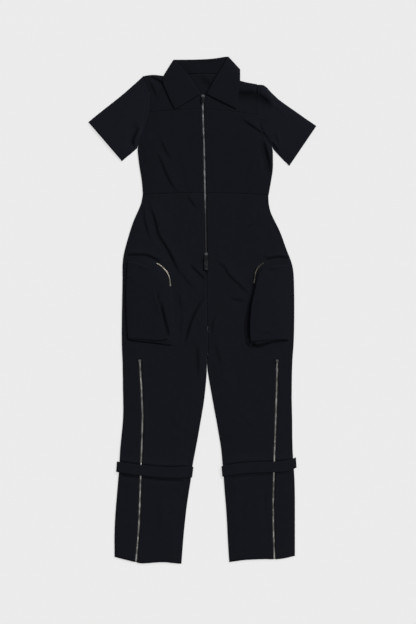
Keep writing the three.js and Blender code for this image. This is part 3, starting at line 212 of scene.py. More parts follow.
# Painted shadow of the collar's edges on the neck, left and right in the picture: how dark, and how far
# in
NECK_SHADE = [(0.35, 6), (0.8, 9)]
PUCKER = (0.16, 8, 7)  # height and size of the puckers, and how far in from the edge they reach
PAD_SWELL = 0.5  # how much of the unevenness the pockets and the collar have

# Top stitching: the part of a piece's outline that lies in a box, and how far in the stitches run
Stitched = namedtuple("Stitched", "node x0 x1 y0 y1 insets")
TOPSTITCH = [
    Stitched("front_bodice_right", -12, 12, 352, 590, [5]),
    Stitched("front_bodice_left", -12, 12, 352, 590, [5]),
    Stitched("front_bodice_right", -170, -6, 334, 352, [2]),
    Stitched("front_bodice_left", 14, 192, 334, 352, [2]),
    Stitched("front_yoke_right", -152, -6, 574, 606, [2.2]),
    Stitched("front_yoke_left", 8, 160, 570, 606, [2.2]),
    Stitched("front_yoke_right", -8, 4, 600, 634, [5]),
    Stitched("front_yoke_left", 0, 10, 600, 634, [5]),
    Stitched("front_leg_right", -2, 14, 118, 342, [5]),
    Stitched("front_leg_left", 6, 22, 118, 342, [5]),
    Stitched("front_leg_right", -170, 0, 332, 350, [2]),
    Stitched("front_leg_left", 16, 192, 332, 350, [2]),
    Stitched("front_leg_left", 8, 24, -150, 108, [2.5]),
    Stitched("front_leg_right", -200, -174, -735, -148, [3]),
    Stitched("front_leg_left", 204, 228, -735, -148, [3]),
    Stitched("front_leg_right", -252, -66, -760, -722, [20, 22]),
    Stitched("front_leg_left", 86, 268, -760, -718, [20, 22]),
]
STITCH_PITCH = 3.2
STITCH_LENGTH = 2.5
STITCH_RADIUS = 0.3
STITCH_SIDES = 5
STITCH_SINK = 0.15  # how far below its middle a stitch's ends lie
STITCH_LIFT = 0.05

# Zips: the centre line of each, and the pitch and size of its teeth
FRONT_ZIP = [
    (2.7, 637), (1.7, 601), (2.4, 566), (3.7, 530), (5.4, 495), (6.5, 424), (7.8, 353), (9.5, 282),
    (10.8, 211), (12.6, 117),
]
LEG_ZIPS = {
    "right": [
        (-184.7, -148), (-182.8, -189), (-180, -230), (-176.5, -313), (-178.8, -396), (-182, -479),
        (-184.4, -562), (-188, -645), (-196, -742),
    ],
    "left": [
        (221.4, -148), (220.8, -189), (219.8, -230), (217.6, -313), (214.4, -396), (212, -479),
        (209.6, -562), (210.3, -645), (213.2, -735),
    ],
}
POCKET_ZIPS = {
    "right": [(-136, 139.5), (-120, 130), (-106.5, 116), (-98.3, 100), (-95.2, 84), (-94.3, 70)],
    "left": [(152.4, 78), (155.6, 98), (157.5, 112), (165, 127.5), (181, 139.5)],
}
Zip = namedtuple("Zip", "pitch tooth_width tooth_length tooth_height tape tape_drop")
MAIN_ZIP = Zip(2.9, 4, 1.5, 2, 26, 2.2)
POCKET_ZIP = Zip(2.2, 2.3, 1.1, 0.9, 10.4, 0)
POCKET_TAPE_SHOWN = 4.2
TAPE_THICKNESS = 0.35
TOOTH_INNER, TOOTH_OUTER = 0.28, 0.72  # how a tooth's width is shared out over the middle of its zip
TOOTH_LEVELS = [(0, 0), (0.65, 0), (1, 0.28)]  # heights of a tooth, and how far each is drawn in
ZIP_BESIDE = 5.5  # how far to either side of a zip the cloth is that it lies level with

# Cloth colours as the photograph shows them, in sRGB 0 to 255: copies of one black cloth, each set to
# how bright its region looks, so that part of their difference is painted light and shade
CLOTH_COLOURS = {
    "bodice": (17, 18.6, 24.6),
    "leg": (18.2, 19.6, 25.6),
    "sleeve": (19, 21.4, 29),
    "collar": (17.4, 19, 25),
    "pocket": (18.4, 19.8, 26),
    # painted shade: the bellows' copy of the cloth is darker than the rest
    "gusset": (16.4, 17.6, 23.4),
    "strap": (18.6, 20, 26),
}

CREASE_SHADE = 0.42  # painted shade in a deep crease: how much of its colour the cloth keeps there

# Soft light: the dome's strength, and lamps with their place, softness in degrees and power
DOME = 0.3
LIGHTS = [
    ("key", (2.42, 2.32, 2.6), 26, 3.0),
]
FLOOR_DIFFUSE = 0.2
FLOOR_GLOW = 0.655

# The picture: where its middle is and how wide it is, and the lens
VIEW_CENTRE = (16.9, -5.3)
VIEW_HEIGHT = 1847
LENS = 85
SENSOR = 36


def linear(colour):
    """An sRGB colour from 0 to 255 as linear red, green, blue and alpha."""
    parts = [c / 255 for c in colour]
    return [c / 12.92 if c <= 0.04045 else ((c + 0.055) / 1.055) ** 2.4 for c in parts] + [1]


def smooth_step(value):
    """0 below 0 and 1 above 1, with a soft passage between."""
    t = np.clip(value, 0, 1)
    return t * t * (3 - 2 * t)


# Materials


def node_tree(name):
    """A new material with its Principled shader, and a function that adds a node to it."""
    material = bpy.data.materials.new(name)
    material.use_nodes = True
    tree = material.node_tree
    shader = tree.nodes["Principled BSDF"]

    def add(kind, **settings):
        node = tree.nodes.new(kind)
        for key, value in settings.items():
            setattr(node, key, value)
        return node

    return material, tree.links, shader, add


def cloth_material(name, colour):
    """A matt fine twill: two close shades, painted shade in its creases, seams, grooves and under the
    collar, a diagonal rib, and a faint fuzz.
    """
    material, links, shader, add = node_tree(name)
    place = add("ShaderNodeTexCoord")
    mottle = add("ShaderNodeTexNoise")
    mottle.inputs["Scale"].default_value = 90
    mottle.inputs["Detail"].default_value = 6
    links.new(place.outputs["Object"], mottle.inputs["Vector"])
    shades = add("ShaderNodeValToRGB")
    dark = linear(colour)
    shades.color_ramp.elements[0].position = 0.3
    shades.color_ramp.elements[0].color = [c * 0.9 for c in dark[:3]] + [1]
    shades.color_ramp.elements[1].position = 0.75
    shades.color_ramp.elements[1].color = [c * 1.1 for c in dark[:3]] + [1]
    links.new(mottle.outputs["Fac"], shades.inputs["Fac"])
    # painted shade: the colour darkened where the shade attribute marks creases, seams, grooves and the
    # neck
    shade = add("ShaderNodeAttribute", attribute_name="shade")
    creased = add("ShaderNodeMix", data_type="RGBA")
    creased.inputs["B"].default_value = [c * CREASE_SHADE for c in dark[:3]] + [1]
    links.new(shade.outputs["Fac"], creased.inputs["Factor"])
    links.new(shades.outputs["Color"], creased.inputs["A"])
    links.new(creased.outputs["Result"], shader.inputs["Base Color"])
    rib = add("ShaderNodeTexWave", wave_type="BANDS", bands_direction="DIAGONAL")
    rib.inputs["Scale"].default_value = 380
    rib.inputs["Distortion"].default_value = 1.2
    rib.inputs["Detail"].default_value = 2
    links.new(place.outputs["Object"], rib.inputs["Vector"])
    slub = add("ShaderNodeTexNoise")
    slub.inputs["Scale"].default_value = 700
    links.new(place.outputs["Object"], slub.inputs["Vector"])
    both = add("ShaderNodeMath", operation="ADD")
    links.new(rib.outputs["Fac"], both.inputs[0])
    links.new(slub.outputs["Fac"], both.inputs[1])
    bump = add("ShaderNodeBump")
    bump.inputs["Strength"].default_value = 0.35
    bump.inputs["Distance"].default_value = 0.0003
    links.new(both.outputs["Value"], bump.inputs["Height"])
    links.new(bump.outputs["Normal"], shader.inputs["Normal"])
    rough = add("ShaderNodeMapRange")
    rough.inputs["To Min"].default_value = 0.82
    rough.inputs["To Max"].default_value = 0.95
    links.new(mottle.outputs["Fac"], rough.inputs["Value"])
    links.new(rough.outputs["Result"], shader.inputs["Roughness"])
    shader.inputs["Specular IOR Level"].default_value = 0.08
    shader.inputs["Sheen Weight"].default_value = 0.03
    shader.inputs["Sheen Roughness"].default_value = 0.45
    shader.inputs["Sheen Tint"].default_value = (0.75, 0.82, 1, 1)
    return material


def metal_material(name, colour, roughness, darker_below=None):
    """Metal with fine scratches and an uneven polish. Given a share and two heights on the garment,
    its colour is darker towards the bottom: that share of itself below the lower height, full above the
    higher."""
    material, links, shader, add = node_tree(name)
    place = add("ShaderNodeTexCoord")
    tarnish = add("ShaderNodeTexNoise")
    tarnish.inputs["Scale"].default_value = 60
    tarnish.inputs["Detail"].default_value = 6
    links.new(place.outputs["Object"], tarnish.inputs["Vector"])
    shades = add("ShaderNodeValToRGB")
    base = linear(colour)
    shades.color_ramp.elements[0].position = 0.38
    shades.color_ramp.elements[0].color = [c * 0.45 for c in base[:3]] + [1]
    shades.color_ramp.elements[1].position = 0.62
    shades.color_ramp.elements[1].color = base
    links.new(tarnish.outputs["Fac"], shades.inputs["Fac"])
    final = shades.outputs["Color"]
    # darker towards the bottom of the garment, down to the given share
    if darker_below:
        share, low, high = darker_below
        axes = add("ShaderNodeSeparateXYZ")
        links.new(place.outputs["Object"], axes.inputs["Vector"])
        fade = add("ShaderNodeMapRange")
        fade.inputs["From Min"].default_value = low * MM
        fade.inputs["From Max"].default_value = high * MM
        links.new(axes.outputs["Y"], fade.inputs["Value"])
        darkened_below = add("ShaderNodeMix", data_type="RGBA")
        darkened_below.inputs["A"].default_value = [c * share for c in base[:3]] + [1]
        links.new(fade.outputs["Result"], darkened_below.inputs["Factor"])
        links.new(final, darkened_below.inputs["B"])
        final = darkened_below.outputs["Result"]
    links.new(final, shader.inputs["Base Color"])
    rough = add("ShaderNodeMapRange")
    rough.inputs["To Min"].default_value = roughness * 0.7
    rough.inputs["To Max"].default_value = roughness * 1.4
    links.new(tarnish.outputs["Fac"], rough.inputs["Value"])
    links.new(rough.outputs["Result"], shader.inputs["Roughness"])
    scratch = add("ShaderNodeBump")
    scratch.inputs["Strength"].default_value = 0.2
    scratch.inputs["Distance"].default_value = 0.0002
    links.new(tarnish.outputs["Fac"], scratch.inputs["Height"])
    links.new(scratch.outputs["Normal"], shader.inputs["Normal"])
    shader.inputs["Metallic"].default_value = 1
    return material


def thread_material(name, colour):
    """Twisted sewing thread, a little shinier than the cloth."""
    material, links, shader, add = node_tree(name)
    place = add("ShaderNodeTexCoord")
    twist = add("ShaderNodeTexWave", bands_direction="DIAGONAL")
    twist.inputs["Scale"].default_value = 900
    links.new(place.outputs["Object"], twist.inputs["Vector"])
    shades = add("ShaderNodeValToRGB")
    base = linear(colour)
    shades.color_ramp.elements[0].color = [c * 0.7 for c in base[:3]] + [1]
    shades.color_ramp.elements[1].color = [c * 1.5 for c in base[:3]] + [1]
    links.new(twist.outputs["Fac"], shades.inputs["Fac"])
    links.new(shades.outputs["Color"], shader.inputs["Base Color"])
    shader.inputs["Roughness"].default_value = 0.6
    shader.inputs["Specular IOR Level"].default_value = 0.2
    return material


# Shapes


def finish_piece(piece, material, slot, *nodes):
    """Gives a new piece its material and its body, and hides the CAD nodes that it stands for. Its slot
    is not used.
    """
    piece.data.materials.clear()
    piece.data.materials.append(material)
    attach(piece, BODY)
    if nodes:
        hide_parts(*nodes)
    return piece


def new_object(name, mesh):
    """A new object in the scene with the given mesh."""
    piece = bpy.data.objects.new(name, mesh)
    bpy.context.scene.collection.objects.link(piece)
    return piece


def object_from(name, points, faces, smooth=True):
    """A new object from points in millimetres and faces."""
    mesh = bpy.data.meshes.new(name)
    mesh.from_pydata([[c * MM for c in p] for p in points], [], faces)
    mesh.polygons.foreach_set("use_smooth", [smooth] * len(mesh.polygons))
    mesh.validate()
    return new_object(name, mesh)


def welded(node):
    """A CAD node's solid with its points joined and its triangles paired into quads."""
    solid = bmesh.new()
    solid.from_mesh(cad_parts[node].data)
    bmesh.ops.remove_doubles(solid, verts=solid.verts, dist=0.01 * MM)
    bmesh.ops.join_triangles(
        solid, faces=solid.faces, angle_face_threshold=0.7, angle_shape_threshold=3.1
    )
    solid.normal_update()
    return solid


def crease_rims(solid, sharp_to):
    """Keeps the cut edges of the cloth sharp when it is subdivided."""
    layer = solid.edges.layers.float.new("crease_edge")
    for edge in solid.edges:
        if len(edge.link_faces) == 2 and SHARP < edge.calc_face_angle(0) < sharp_to:
            edge[layer] = RIM_CREASE


def refined(piece):
    """The piece's solid, subdivided into soft cloth with the same edges."""
    solid = welded(piece.node)
    crease_rims(solid, TUBE_SHARP if piece.form in ("sleeve", "strap") else math.pi)
    mesh = bpy.data.meshes.new(piece.node + "_cloth")
    solid.to_mesh(mesh)
    solid.free()
    coarse = new_object("coarse", mesh)
    divide = coarse.modifiers.new("divide", "SUBSURF")
    divide.levels = piece.levels
    divide.render_levels = piece.levels
    bpy.context.view_layer.update()
    fine = bpy.data.meshes.new_from_object(
        coarse.evaluated_get(bpy.context.evaluated_depsgraph_get())
    )
    bpy.data.objects.remove(coarse)
    bpy.data.meshes.remove(mesh)
    fine.name = piece.node + "_cloth"
    fine.polygons.foreach_set("use_smooth", [True] * len(fine.polygons))
    return new_object(piece.node + "_cloth", fine)


def outline(node):
    """The loops round the upper side of a panel's solid, as points in millimetres."""
    solid = welded(node)
    following = {}
    for face in solid.faces:
        if face.normal.z < UP:
            continue
        for loop in face.loops:
            others = [f for f in loop.edge.link_faces if f is not face]
            if not others or others[0].normal.z < UP:
                following[loop.vert.index] = loop.link_loop_next.vert.index
    places = {v.index: Vector((v.co.x, v.co.y)) / MM for v in solid.verts}
    solid.free()
    loops = []
    while following:
        start, at = following.popitem()
        chain = [start]
        while at in following:
            chain.append(at)
            at = following.pop(at)
        loops.append([places[i] for i in chain])
    return loops


def evenly(points, step, closed=False):
    """Points a step apart along a line through 2D or 3D points."""
    points = [Vector(p) for p in points]
    if closed:
        points = points + points[:1]
    spans = [(b - a).length for a, b in zip(points, points[1:])]
    total = sum(spans)
    count = max(1, round(total / step))
    result = []
    span = 0
    passed = 0.0
    for i in range(count + 1):
        want = total * i / count
        while span < len(spans) - 1 and passed + spans[span] < want:
            passed += spans[span]
            span += 1
        share = (want - passed) / max(spans[span], 1e-9)
        result.append(points[span].lerp(points[span + 1], min(1, share)))
    return result


def curve(points, step):
    """Points a step apart on a smooth curve through a few points."""
    ends = [2 * Vector(points[0]) - Vector(points[1]), 2 * Vector(points[-1]) - Vector(points[-2])]
    knots = [ends[0]] + [Vector(p) for p in points] + [ends[1]]
    fine = []
    for a, b, c, d in zip(knots, knots[1:], knots[2:], knots[3:]):
        for i in range(8):
            t = i / 8
            bend = (2 * a - 5 * b + 4 * c - d) * t**2 + (3 * b - 3 * c + d - a) * t**3
            fine.append(b + ((c - a) * t + bend) / 2)
    fine.append(knots[-2])
    return evenly(fine, step)


def nearest_mark(loops, x, y):
    """How far places are from the nearest of some closed lines, in millimetres."""
    marks = [p for loop in loops for p in evenly(loop, MARK_STEP, closed=True)]
    tree = KDTree(len(marks))
    for i, mark in enumerate(marks):
        tree.insert((mark.x, mark.y, 0), i)
    tree.balance()
    return np.array([tree.find((a, b, 0))[2] for a, b in zip(x, y)])


def edge_distances(node, places):
    """How far each place is from the edge of a panel, in millimetres."""
    return nearest_mark(outline(node), *places.T)


# The relief of the laid-out cloth


def crease_relief(creases, x, y):
    """Rise of the creases at some places, in millimetres, and the painted shade each place gets in
    their troughs.
    """
    rise = np.zeros_like(x)
    shade = np.zeros_like(x)
    for crease in creases:
        line = np.array(curve(crease.points, MARK_STEP))
        ahead = np.gradient(line, axis=0)
        ahead /= np.linalg.norm(ahead, axis=1)[:, None]
        low = line.min(axis=0) - CREASE_MARGIN * crease.reach
        high = line.max(axis=0) + CREASE_MARGIN * crease.reach
        near = np.nonzero((x > low[0]) & (x < high[0]) & (y > low[1]) & (y < high[1]))[0]
        if not len(near):
            continue
        gap_x = x[near][:, None] - line[:, 0]
        gap_y = y[near][:, None] - line[:, 1]
        nearest = np.argmin(gap_x**2 + gap_y**2, axis=1)
        rows = np.arange(len(near))
        gap_x, gap_y = gap_x[rows, nearest], gap_y[rows, nearest]
        side = (ahead[nearest, 0] * gap_y - ahead[nearest, 1] * gap_x) / crease.steep
        share = nearest / (len(line) - 1)
        taper = smooth_step(np.minimum(share, 1 - share) / crease.fade)
        away = np.exp(-((np.hypot(gap_x, gap_y) / crease.reach) ** 2))
        trough = np.exp(-(side**2))
        rise[near] += crease.height * taper * away * (np.tanh(side) - TROUGH * trough)
        # painted shade in the crease's trough, darker for taller creases
        shade[near] += min(1, crease.height / SHADE_HEIGHT) * taper * away * trough
    return rise, shade


def swell_relief(x, y):
    """Soft unevenness of cloth laid by hand."""
    rise = np.zeros_like(x)
    for size, height in SWELLS:
        rise += height * np.array(
            [noise.noise((a / size, b / (1.6 * size), size)) for a, b in zip(x, y)]
        )
    return rise


def inside(loop, x, y):
    """Which places lie inside a closed line."""
    within = np.zeros(len(x), dtype=bool)
    for a, b in zip(loop, loop[1:] + loop[:1]):
        spans = (a.y > y) != (b.y > y)
        rise = b.y - a.y if b.y != a.y else 1
        within ^= spans & (x < a.x + (b.x - a.x) * (y - a.y) / rise)
    return within


def largest(loops):
    """The loop that goes round the others."""
    return max(loops, key=lambda loop: max(p.x for p in loop) - min(p.x for p in loop))


def distance_to(loop, x, y):
    """How far places are from a closed line."""
    return nearest_mark([loop], x, y)


def kept_flat(x, y):
    """0 where something lies on the front, 1 well away from it."""
    share = np.ones_like(x)
    for node in COVERS:
        loop = largest(outline(node))
        out = np.where(inside(loop, x, y), 0, distance_to(loop, x, y))
        share = np.minimum(share, smooth_step(out / COVER_MARGIN))
    return share


def groove_relief(node, x, y, z):
    """How far the bellows of a pocket sink beside its face, and the painted shade each place gets in a
    groove.
    """
    rise = np.zeros_like(x)
    shade = np.zeros_like(x)
    foot_fade, middle_fade, bottom_fade = GROOVE_EDGES
    for groove in GROOVES:
        if groove.node != node:
            continue
        face = largest(outline(groove.face))
        middle = sum(p.x for p in face) / len(face)
        off = distance_to(face, x, y) * np.where(inside(face, x, y), -1, 1)
        foot = distance_to(largest(outline(node)), x, y)
        share = smooth_step((groove.top - y) / groove.fade) * smooth_step(foot / foot_fade)
        share = share * smooth_step(groove.side * (x - middle) / middle_fade)
        share = share * smooth_step((y - groove.bottom) / bottom_fade)
        share = share * np.exp(-(((off - groove.away) / groove.width) ** 2))
        rise -= groove.depth * share
        # painted shade in the groove, deepest at its bottom
        shade += GROOVE_SHADE * share
    return np.maximum(rise, -GROOVE_ROOM * np.maximum(0, z - GROOVE_FLOOR)), shade


def seam_relief(x, y, distance):
    """The dip at a seam, the pressed allowance beside it, and its puckers."""
    depth, width = SEAM_DITCH
    height, away, spread = SEAM_RIDGE
    pucker, size, reach = PUCKER
    rise = -depth * np.exp(-((distance / width) ** 2))
    rise += height * np.exp(-(((distance - away) / spread) ** 2))
    near = np.exp(-((distance / reach) ** 2))
    wave = np.array([noise.noise((a / size, b / size, 7)) for a, b in zip(x, y)])
    return rise + pucker * wave * near


def lay(piece, cloth):
    """Moves a piece's points into the photograph's creases, and stores the painted shade of its
    creases, seams, grooves and neck in its shade attribute.
    """
    mesh = cloth.data
    count = len(mesh.vertices)
    co = np.empty(count * 3)
    up = np.empty(count * 3)
    mesh.vertices.foreach_get("co", co)
    mesh.vertices.foreach_get("normal", up)
    co = co.reshape(-1, 3) / MM
    up = up.reshape(-1, 3)
    x, y, z = co.T
    distance = edge_distances(piece.node, co[:, :2])
    # painted shade along every edge of the piece
    dark, reach = SEAM_SHADE
    shade = dark * np.exp(-((distance / reach) ** 2))
    if piece.form == "front":
        rise, painted_fold_shade = crease_relief(CREASES, x, y)
        free = kept_flat(x, y)
        rise = (rise + swell_relief(x, y)) * free + seam_relief(x, y, distance)
        z += held_down(rise, z - np.where(up[:, 2] > 0, PANEL_TOP, PANEL_UNDER))
        # painted shade of the creases, none where something lies on the front
        shade += painted_fold_shade * free
    elif piece.form == "back":
        rise, painted_fold_shade = crease_relief(BACK_CREASES, x, y)
        z += smooth_step(distance / BACK_REACH) * np.maximum(0, BACK_LIFT + rise)
    elif piece.form == "sleeve":
        low, high = UPPER_LAYER
        upper = smooth_step((z - low) / (high - low))
        rise, painted_fold_shade = crease_relief(CREASES, x, y)
        rise = rise + swell_relief(x, y) + seam_relief(x, y, distance)
        z += upper * held_down(rise, z - np.where(up[:, 2] > 0, SLEEVE_TOP, SLEEVE_UNDER))
        # painted shade of the creases, on the sleeve's upper layer only
        shade += painted_fold_shade * upper
    elif piece.form == "pocket":
        rise, painted_fold_shade = groove_relief(piece.node, x, y, z)
        on_face = piece.node.startswith("pocket_face")
        creased, painted_crease_shade = crease_relief(FACE_CREASES if on_face else FOOT_CREASES, x, y)
        lowest = -SINKING * np.maximum(0, z - GROOVE_FLOOR)
        z += np.maximum(rise + creased, lowest)
        # painted shade in the bellows' grooves and in the creases of the face and foot
        shade += painted_fold_shade + painted_crease_shade
    if piece.form in ("pocket", "collar"):
        z += PAD_SWELL * np.maximum(swell_relief(x, y), 0)
    # painted shadow of the collar's edges on the collar stand and the back inside the neck
    if piece.node in ("collar_stand", "back_bodice"):
        rim = distance_to(largest(outline("collar_fall")), x, y)
        for side, (dark, reach) in zip((-1, 1), NECK_SHADE):
            shade += dark * np.exp(-((rim / reach) ** 2)) * (side * x > 0)
    if piece.form in ("front", "back", "sleeve") or piece.node == "collar_stand":
        out = up[:, :2] / np.maximum(np.linalg.norm(up[:, :2], axis=1), 0.3)[:, None]
        co[:, :2] += RIM_OUT * out * (distance < RIM_REACH)[:, None]
    mesh.vertices.foreach_set("co", (co * MM).ravel())
    layer = mesh.attributes.new("shade", "FLOAT", "POINT")
    layer.data.foreach_set("value", np.clip(shade, 0, 1))
    mesh.update()


def held_down(rise, slack):
    """A relief that stays off the layer below, and is slight where the cloth is folded flat."""
    least, full = LOOSE
    up = np.maximum(rise, 0) * np.clip(slack / full, least, 1)
    return up + np.maximum(np.minimum(rise, 0), -SINKING * np.maximum(0, slack))


# Things that lie on the cloth


class Surface:
    """The upper surface of some pieces, for placing what lies on them."""

    def __init__(self, pieces):
        points = []
        faces = []
        for piece in pieces:
            start = len(points)
            points += [v.co / MM for v in piece.data.vertices]
            faces += [[start + i for i in p.vertices] for p in piece.data.polygons]
        self.tree = BVHTree.FromPolygons(points, faces)

    def under(self, x, y):
        """The highest point at a place, and its normal."""
        hit, normal, _, _ = self.tree.ray_cast((x, y, 60), (0, 0, -1))
        if hit is None:
            return None
        return hit, normal if normal.z > 0 else -normal


def track(points, step, surface, beside=0):
    """Frames a step apart along a line on a surface: place, direction and normal of each.
    Where beside is given, the height is the mean of the heights that far to either side."""
    line = evenly(points, step)
    frames = []
    for i, p in enumerate(line):
        ahead = line[min(i + 1, len(line) - 1)] - line[max(i - 1, 0)]
        along = Vector((ahead.x, ahead.y, 0)).normalized()
        across = Vector((-along.y, along.x, 0))
        sides = [p.to_3d() + across * s * beside for s in (-1, 1)] if beside else [p.to_3d()]
        hits = [surface.under(s.x, s.y) for s in sides]
        hits = [h for h in hits if h]
        if not hits:
            continue
        height = sum(h[0].z for h in hits) / len(hits)
        normal = Vector((0, 0, 1)) if beside else hits[0][1]
        along = (along - normal * along.dot(normal)).normalized()
        frames.append((Vector((p.x, p.y, height)), along, normal))
    return frames


def settled(frames, reach=3):
    """The same frames with their heights evened out along the line."""
    heights = [f[0].z for f in frames]
    result = []
    for i, (place, along, normal) in enumerate(frames):
        near = heights[max(0, i - reach): i + reach + 1]
        result.append((Vector((place.x, place.y, sum(near) / len(near))), along, normal))
    return result


class Heap:
    """Many small shapes gathered into one mesh."""

    def __init__(self):
        self.points = []
        self.faces = []

    def add(self, points, faces, place, along, normal):
        across = normal.cross(along)
        turn = Matrix((along, across, normal)).transposed()
        start = len(self.points)
        self.points += [place + turn @ Vector(p) for p in points]
        self.faces += [[start + i for i in f] for f in faces]

    def made(self, name, smooth=True):
        return object_from(name, self.points, self.faces, smooth)


def stitch_shape():
    """One stitch along X, a bar with drawn-in ends."""
    sides = STITCH_SIDES
    half = STITCH_LENGTH / 2
    points = [(-half, 0, -STITCH_SINK)]
    for at in (-0.6 * half, 0.6 * half):
        for i in range(sides):
            turn = 2 * math.pi * i / sides
            points.append((at, STITCH_RADIUS * math.cos(turn), STITCH_RADIUS * math.sin(turn)))
    points.append((half, 0, -STITCH_SINK))
    last = len(points) - 1
    faces = []
    for i in range(sides):
        a, b = 1 + i, 1 + (i + 1) % sides
        faces.append((0, b, a))
        faces.append((a, b, b + sides, a + sides))
        faces.append((last, a + sides, b + sides))
    return points, faces


def tooth_shape(kind, side):
    """One tooth, standing across the zip on one side of its middle, with chamfered top edges."""
    inner = -TOOTH_INNER * kind.tooth_width
    outer = TOOTH_OUTER * kind.tooth_width
    low, high = sorted((side * inner, side * outer))
    half = kind.tooth_length / 2
    points = []
    for level, draw in TOOTH_LEVELS:
        inset = draw * kind.tooth_length
        near, far = half - inset, low + inset
        for x, y in ((-near, far), (near, far), (near, high - inset), (-near, high - inset)):
            points.append((x, y, level * kind.tooth_height))
    faces = [(3, 2, 1, 0), (8, 9, 10, 11)]
    for ring in (0, 4):
        for i in range(4):
            j = (i + 1) % 4
            faces.append((ring + i, ring + j, ring + j + 4, ring + i + 4))
    return points, faces


def ribbon(name, frames, width, thick, drop):
    """A flat band along some frames, its top a drop below them."""
    points = []
    faces = []
    for place, along, normal in frames:
        across = normal.cross(along)
        for out, down in ((-1, drop), (1, drop), (1, drop + thick), (-1, drop + thick)):
            points.append(place + across * out * width / 2 - normal * down)
    for i in range(len(frames) - 1):
        for k in range(4):
            a, b = 4 * i + k, 4 * i + (k + 1) % 4
            faces.append((a, a + 4, b + 4, b))
    last = 4 * (len(frames) - 1)
    faces += [(0, 1, 2, 3), (last + 3, last + 2, last + 1, last)]
    return object_from(name, points, faces, smooth=False)


def zip_pieces(name, kind, line, surface, metal, beside=0, shown=None):
    """A zip's two rows of teeth on its woven tape, whose width may be partly hidden."""
    frames = settled(track(line, kind.pitch / 2, surface, beside))
    teeth = Heap()
    for i, (place, along, normal) in enumerate(frames[1:-1]):
        side = 1 if i % 2 else -1
        teeth.add(*tooth_shape(kind, side), place - normal * kind.tape_drop, along, normal)
    finish_piece(teeth.made(name + "_teeth", smooth=False), metal, "zip_metal", name)
    width = shown or kind.tape
    tape = ribbon(name + "_tape", frames[::4] + frames[-1:], width, TAPE_THICKNESS, kind.tape_drop)
    finish_piece(tape, materials["tape"], "cloth")


def runs_in(loop, box):
    """The stretches of a closed outline that lie in a box."""
    inside = [box.x0 <= p.x <= box.x1 and box.y0 <= p.y <= box.y1 for p in loop]
    if all(inside):
        return [loop]
    first = inside.index(False)
    order = [(first + i) % len(loop) for i in range(len(loop))]
    runs = [[]]
    for i in order:
        if inside[i]:
            runs[-1].append(loop[i])
        elif runs[-1]:
            runs.append([])
    return [run for run in runs if len(run) > 1]


def inset_line(run, inset):
    """A line moved in from the outline, which runs anticlockwise."""
    moved = []
    for i, p in enumerate(run):
        ahead = run[min(i + 1, len(run) - 1)] - run[max(i - 1, 0)]
        inward = Vector((-ahead.y, ahead.x)).normalized()
        moved.append(p + inward * inset)
    return moved


def stitch(name, lines, surface):
    """Rows of stitches along some lines on a surface, as one piece."""
    heap = Heap()
    shape = stitch_shape()
    for line in lines:
        for place, along, normal in track(line, STITCH_PITCH, surface):
            heap.add(*shape, place + normal * STITCH_LIFT, along, normal)
    return finish_piece(heap.made(name), materials["thread"], "cloth")


# Build

materials = {
    **{name: cloth_material("cloth_" + name, colour) for name, colour in CLOTH_COLOURS.items()},
    "tape": cloth_material("zip_tape", (22, 22, 26)),
    "thread": thread_material("thread", (16, 17, 21)),
    "zip_front": metal_material("zip_gunmetal", (205, 206, 209), 0.4, darker_below=(0.2, 285, 335)),
    "zip_leg": metal_material("zip_nickel", (248, 246, 243), 0.3),
    "zip_pocket": metal_material("zip_pale", (178, 172, 160), 0.35),
    "slider": metal_material("slider_metal", (150, 150, 152), 0.3),
    "tab": metal_material("tab_metal", (70, 71, 76), 0.35),
}


def build_cloth():
    """All cloth pieces, by the nodes that they stand for."""
    made = {}
    for piece in PIECES:
        cloth = refined(piece)
        lay(piece, cloth)
        slot = "strap_cloth" if piece.form == "strap" else "cloth"
        finish_piece(cloth, materials[piece.cloth], slot, piece.node)
        made[piece.node] = cloth
    return made


def build_zips(made):
    """The chains and tapes of the front zip, the leg zips and the pocket zips."""
    front = Surface([made[piece.node] for piece in PIECES if piece.form == "front"])
    zip_pieces("front_zip", MAIN_ZIP, FRONT_ZIP, front, materials["zip_front"], ZIP_BESIDE)
    for side in ("right", "left"):
        zip_pieces(f"leg_zip_{side}", MAIN_ZIP, LEG_ZIPS[side], front, materials["zip_leg"], ZIP_BESIDE)
        bellows = Surface([made[f"pocket_gusset_{side}"]])
        zip_pieces(f"pocket_zip_{side}", POCKET_ZIP, POCKET_ZIPS[side], bellows,
                   materials["zip_pocket"], shown=POCKET_TAPE_SHOWN)


def build_stitches(made):
    """The top stitching of the front, one piece for each panel."""
    lines = {}
    for row in TOPSTITCH:
        for loop in outline(row.node):
            for run in runs_in(loop, row):
                lines.setdefault(row.node, []).extend(inset_line(run, inset) for inset in row.insets)
    for node, rows in lines.items():
        stitch(node + "_stitches", rows, Surface([made[node]]))


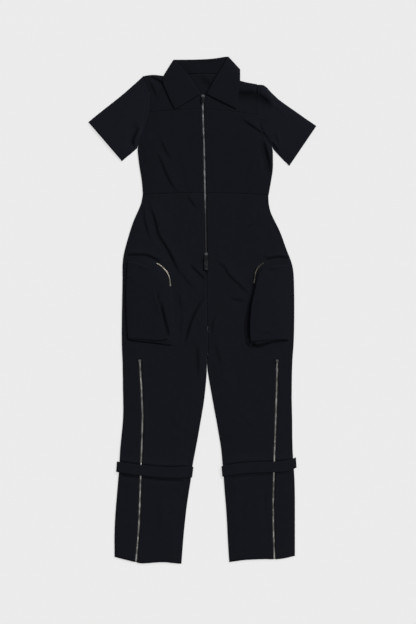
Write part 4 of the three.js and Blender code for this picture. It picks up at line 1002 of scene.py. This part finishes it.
def dress_hardware():
    """The sliders and tabs keep their own solids, with rounded edges and metal."""
    for node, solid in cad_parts.items():
        if "slider" in node or "tab" in node:
            edge = solid.modifiers.new("edge", "BEVEL")
            edge.width = 0.35 * MM
            edge.segments = 2
            edge.limit_method = "ANGLE"
            metal = materials["tab"] if "tab" in node else materials["slider"]
            for slot in solid.material_slots:
                slot.material = metal


def build_stage():
    """The pale floor, the soft light and the camera straight above."""
    bpy.ops.mesh.primitive_plane_add(size=12, location=(0, 0, -0.0004))
    floor = bpy.context.object
    floor.name = "floor"
    material, links, shader, add = node_tree("floor_paper")
    grain = add("ShaderNodeTexNoise")
    grain.inputs["Scale"].default_value = 40
    tone = add("ShaderNodeMapRange")
    tone.inputs["To Min"].default_value = FLOOR_DIFFUSE * 0.99
    tone.inputs["To Max"].default_value = FLOOR_DIFFUSE * 1.01
    links.new(grain.outputs["Fac"], tone.inputs["Value"])
    links.new(tone.outputs["Result"], shader.inputs["Base Color"])
    shader.inputs["Roughness"].default_value = 1
    shader.inputs["Specular IOR Level"].default_value = 0
    shader.inputs["Emission Color"].default_value = (1, 1, 1, 1)
    shader.inputs["Emission Strength"].default_value = FLOOR_GLOW
    floor.data.materials.append(material)

    world = bpy.data.worlds.new("studio")
    bpy.context.scene.world = world
    world.use_nodes = True
    world.node_tree.nodes["Background"].inputs["Color"].default_value = (1, 1, 1, 1)
    world.node_tree.nodes["Background"].inputs["Strength"].default_value = DOME

    for name, place, softness, power in LIGHTS:
        light = bpy.data.lights.new(name, "SUN")
        light.angle = math.radians(softness)
        light.energy = power
        lamp = bpy.data.objects.new(name, light)
        bpy.context.scene.collection.objects.link(lamp)
        lamp.location = place
        lamp.rotation_mode = "QUATERNION"
        lamp.rotation_quaternion = (-Vector(place)).to_track_quat("-Z", "Y")

    lens = bpy.data.cameras.new("camera")
    lens.lens = LENS
    lens.sensor_width = SENSOR
    camera = bpy.data.objects.new("camera", lens)
    bpy.context.scene.collection.objects.link(camera)
    camera.location = (VIEW_CENTRE[0] * MM, VIEW_CENTRE[1] * MM, VIEW_HEIGHT * MM * LENS / SENSOR)
    bpy.context.scene.camera = camera
    bpy.context.scene.view_settings.view_transform = "Standard"


cloths = build_cloth()
build_zips(cloths)
build_stitches(cloths)
dress_hardware()
build_stage()
